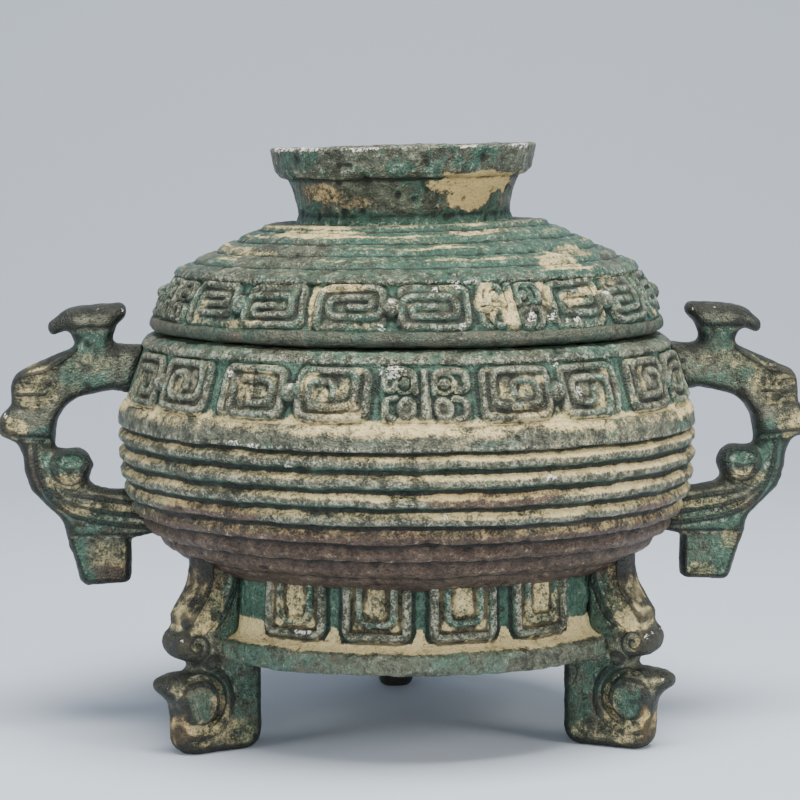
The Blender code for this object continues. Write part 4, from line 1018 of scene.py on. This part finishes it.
knob_neck = [(0.0250, 0.1188), (0.0256, 0.1194), (0.0247, 0.1215), (0.0256, 0.1262), (0.0270, 0.1299)]
knob_rim = [(0.0288, 0.1303), (0.0300, 0.1315), (0.0311, 0.1370), (0.0300, 0.1372), (0.0284, 0.1369)]
knob_outside = softened(knob_neck + knob_rim, 0.00045, 0.00020)
knob_inside = softened([(0.0280, 0.1362), (0.0230, 0.1283), (0.0205, 0.1211), (0.0004, 0.1211)], 0.0012, 0.0)
knob_hidden = softened([(0.0004, 0.1180), (0.0240, 0.1180)], 0.0040, 0.0)
knob = Turned(np.concatenate([knob_outside, knob_inside, knob_hidden]), 340, 61)
outside = knob.radius > 0.0242
foot = fade(0.1212, 0.1236, knob.height + 0.003 * knob.ragged)
knob.apply_tint("green", 1.1 * foot * outside)
knob.apply_tint("green", 0.8 * ramp(-0.1, 0.2, knob.ragged))
patches = [(34, 0.1284, 32, 0.0030, 1.0), (34, 0.1258, 15, 0.0036, 1.0), (-52, 0.1268, 16, 0.0026, 0.66),
           (-30, 0.1246, 12, 0.0014, 0.5)]
knob.marks("earth", patches, outside)
knob.marks("copper", patches, 0.9 * outside)
# Painted highlights along the top of the knob's rim.
knob.marks("painted_glint", [(azimuth, 0.1368, 9, 0.0006, 0.8) for azimuth in (-62, -48, -70, -20, 25, 58)])
dress_lid(knob.show("knob", leaned))


# Floor, light and camera. The floor is a plain pale sheet swept up behind the burner, painted in one flat
# colour. A wide soft light hangs above, and three weaker ones fill the front and the sides.

bend, bend_start = 0.75, 0.45
sweep = [(-3.0, 0.0), (bend_start, 0.0)]
for step in range(1, 25):
    turn = math.radians(90 * step / 24)
    sweep.append((bend_start + bend * math.sin(turn), bend - bend * math.cos(turn)))
sweep.append((bend_start + bend, 3.0))
floor_data = bpy.data.meshes.new("floor")
floor_data.from_pydata([(side, back, up) for back, up in sweep for side in (-4, 4)], [],
                       [(2 * row, 2 * row + 1, 2 * row + 3, 2 * row + 2) for row in range(len(sweep) - 1)])
floor_data.shade_smooth()
floor = bpy.data.objects.new("floor", floor_data)
bpy.context.scene.collection.objects.link(floor)
paint = Finish("floor")
paint.shader.inputs["Base Color"].default_value = (0.50, 0.57, 0.68, 1)
paint.shader.inputs["Roughness"].default_value = 0.85
floor_data.materials.append(paint.material)


def lamp(name, place, target, size, power, colour):
    """A soft rectangular light that faces a point."""
    data = bpy.data.lights.new(name, "AREA")
    data.shape = "RECTANGLE"
    data.size, data.size_y = size
    data.energy = power
    data.color = colour
    light = bpy.data.objects.new(name, data)
    light.location = place
    light.rotation_euler = (Vector(target) - Vector(place)).to_track_quat("-Z", "Y").to_euler()
    bpy.context.scene.collection.objects.link(light)


lamp("overhead", (0.10, -0.25, 0.95), (0, 0, 0.07), (0.7, 0.5), 21, (1.0, 0.955, 0.87))
lamp("right", (0.85, -0.65, 0.50), (0, 0, 0.07), (0.4, 0.4), 7, (1.0, 0.93, 0.82))
lamp("front", (-0.15, -1.30, 0.28), (0, 0, 0.04), (0.9, 0.4), 6, (1.0, 0.95, 0.86))
lamp("left", (-0.90, -0.55, 0.40), (0, 0, 0.06), (0.4, 0.4), 5, (1.0, 0.97, 0.92))

world = bpy.data.worlds.new("sky")
world.use_nodes = True
world.node_tree.nodes["Background"].inputs["Color"].default_value = (0.58, 0.64, 0.72, 1)
world.node_tree.nodes["Background"].inputs["Strength"].default_value = 0.46
bpy.context.scene.world = world

camera_reach, camera_height = 0.658, 0.1403
camera_turn, camera_dip, camera_aside = math.radians(-3.5), math.radians(5.467), math.radians(0.143)
lens = bpy.data.cameras.new("camera")
lens.lens = 126
lens.sensor_width = 36
camera = bpy.data.objects.new("camera", lens)
camera.location = (camera_reach * math.sin(camera_turn), -camera_reach * math.cos(camera_turn), camera_height)
camera.rotation_euler = (math.radians(90) - camera_dip, 0, camera_turn + camera_aside)
bpy.context.scene.collection.objects.link(camera)
bpy.context.scene.camera = camera
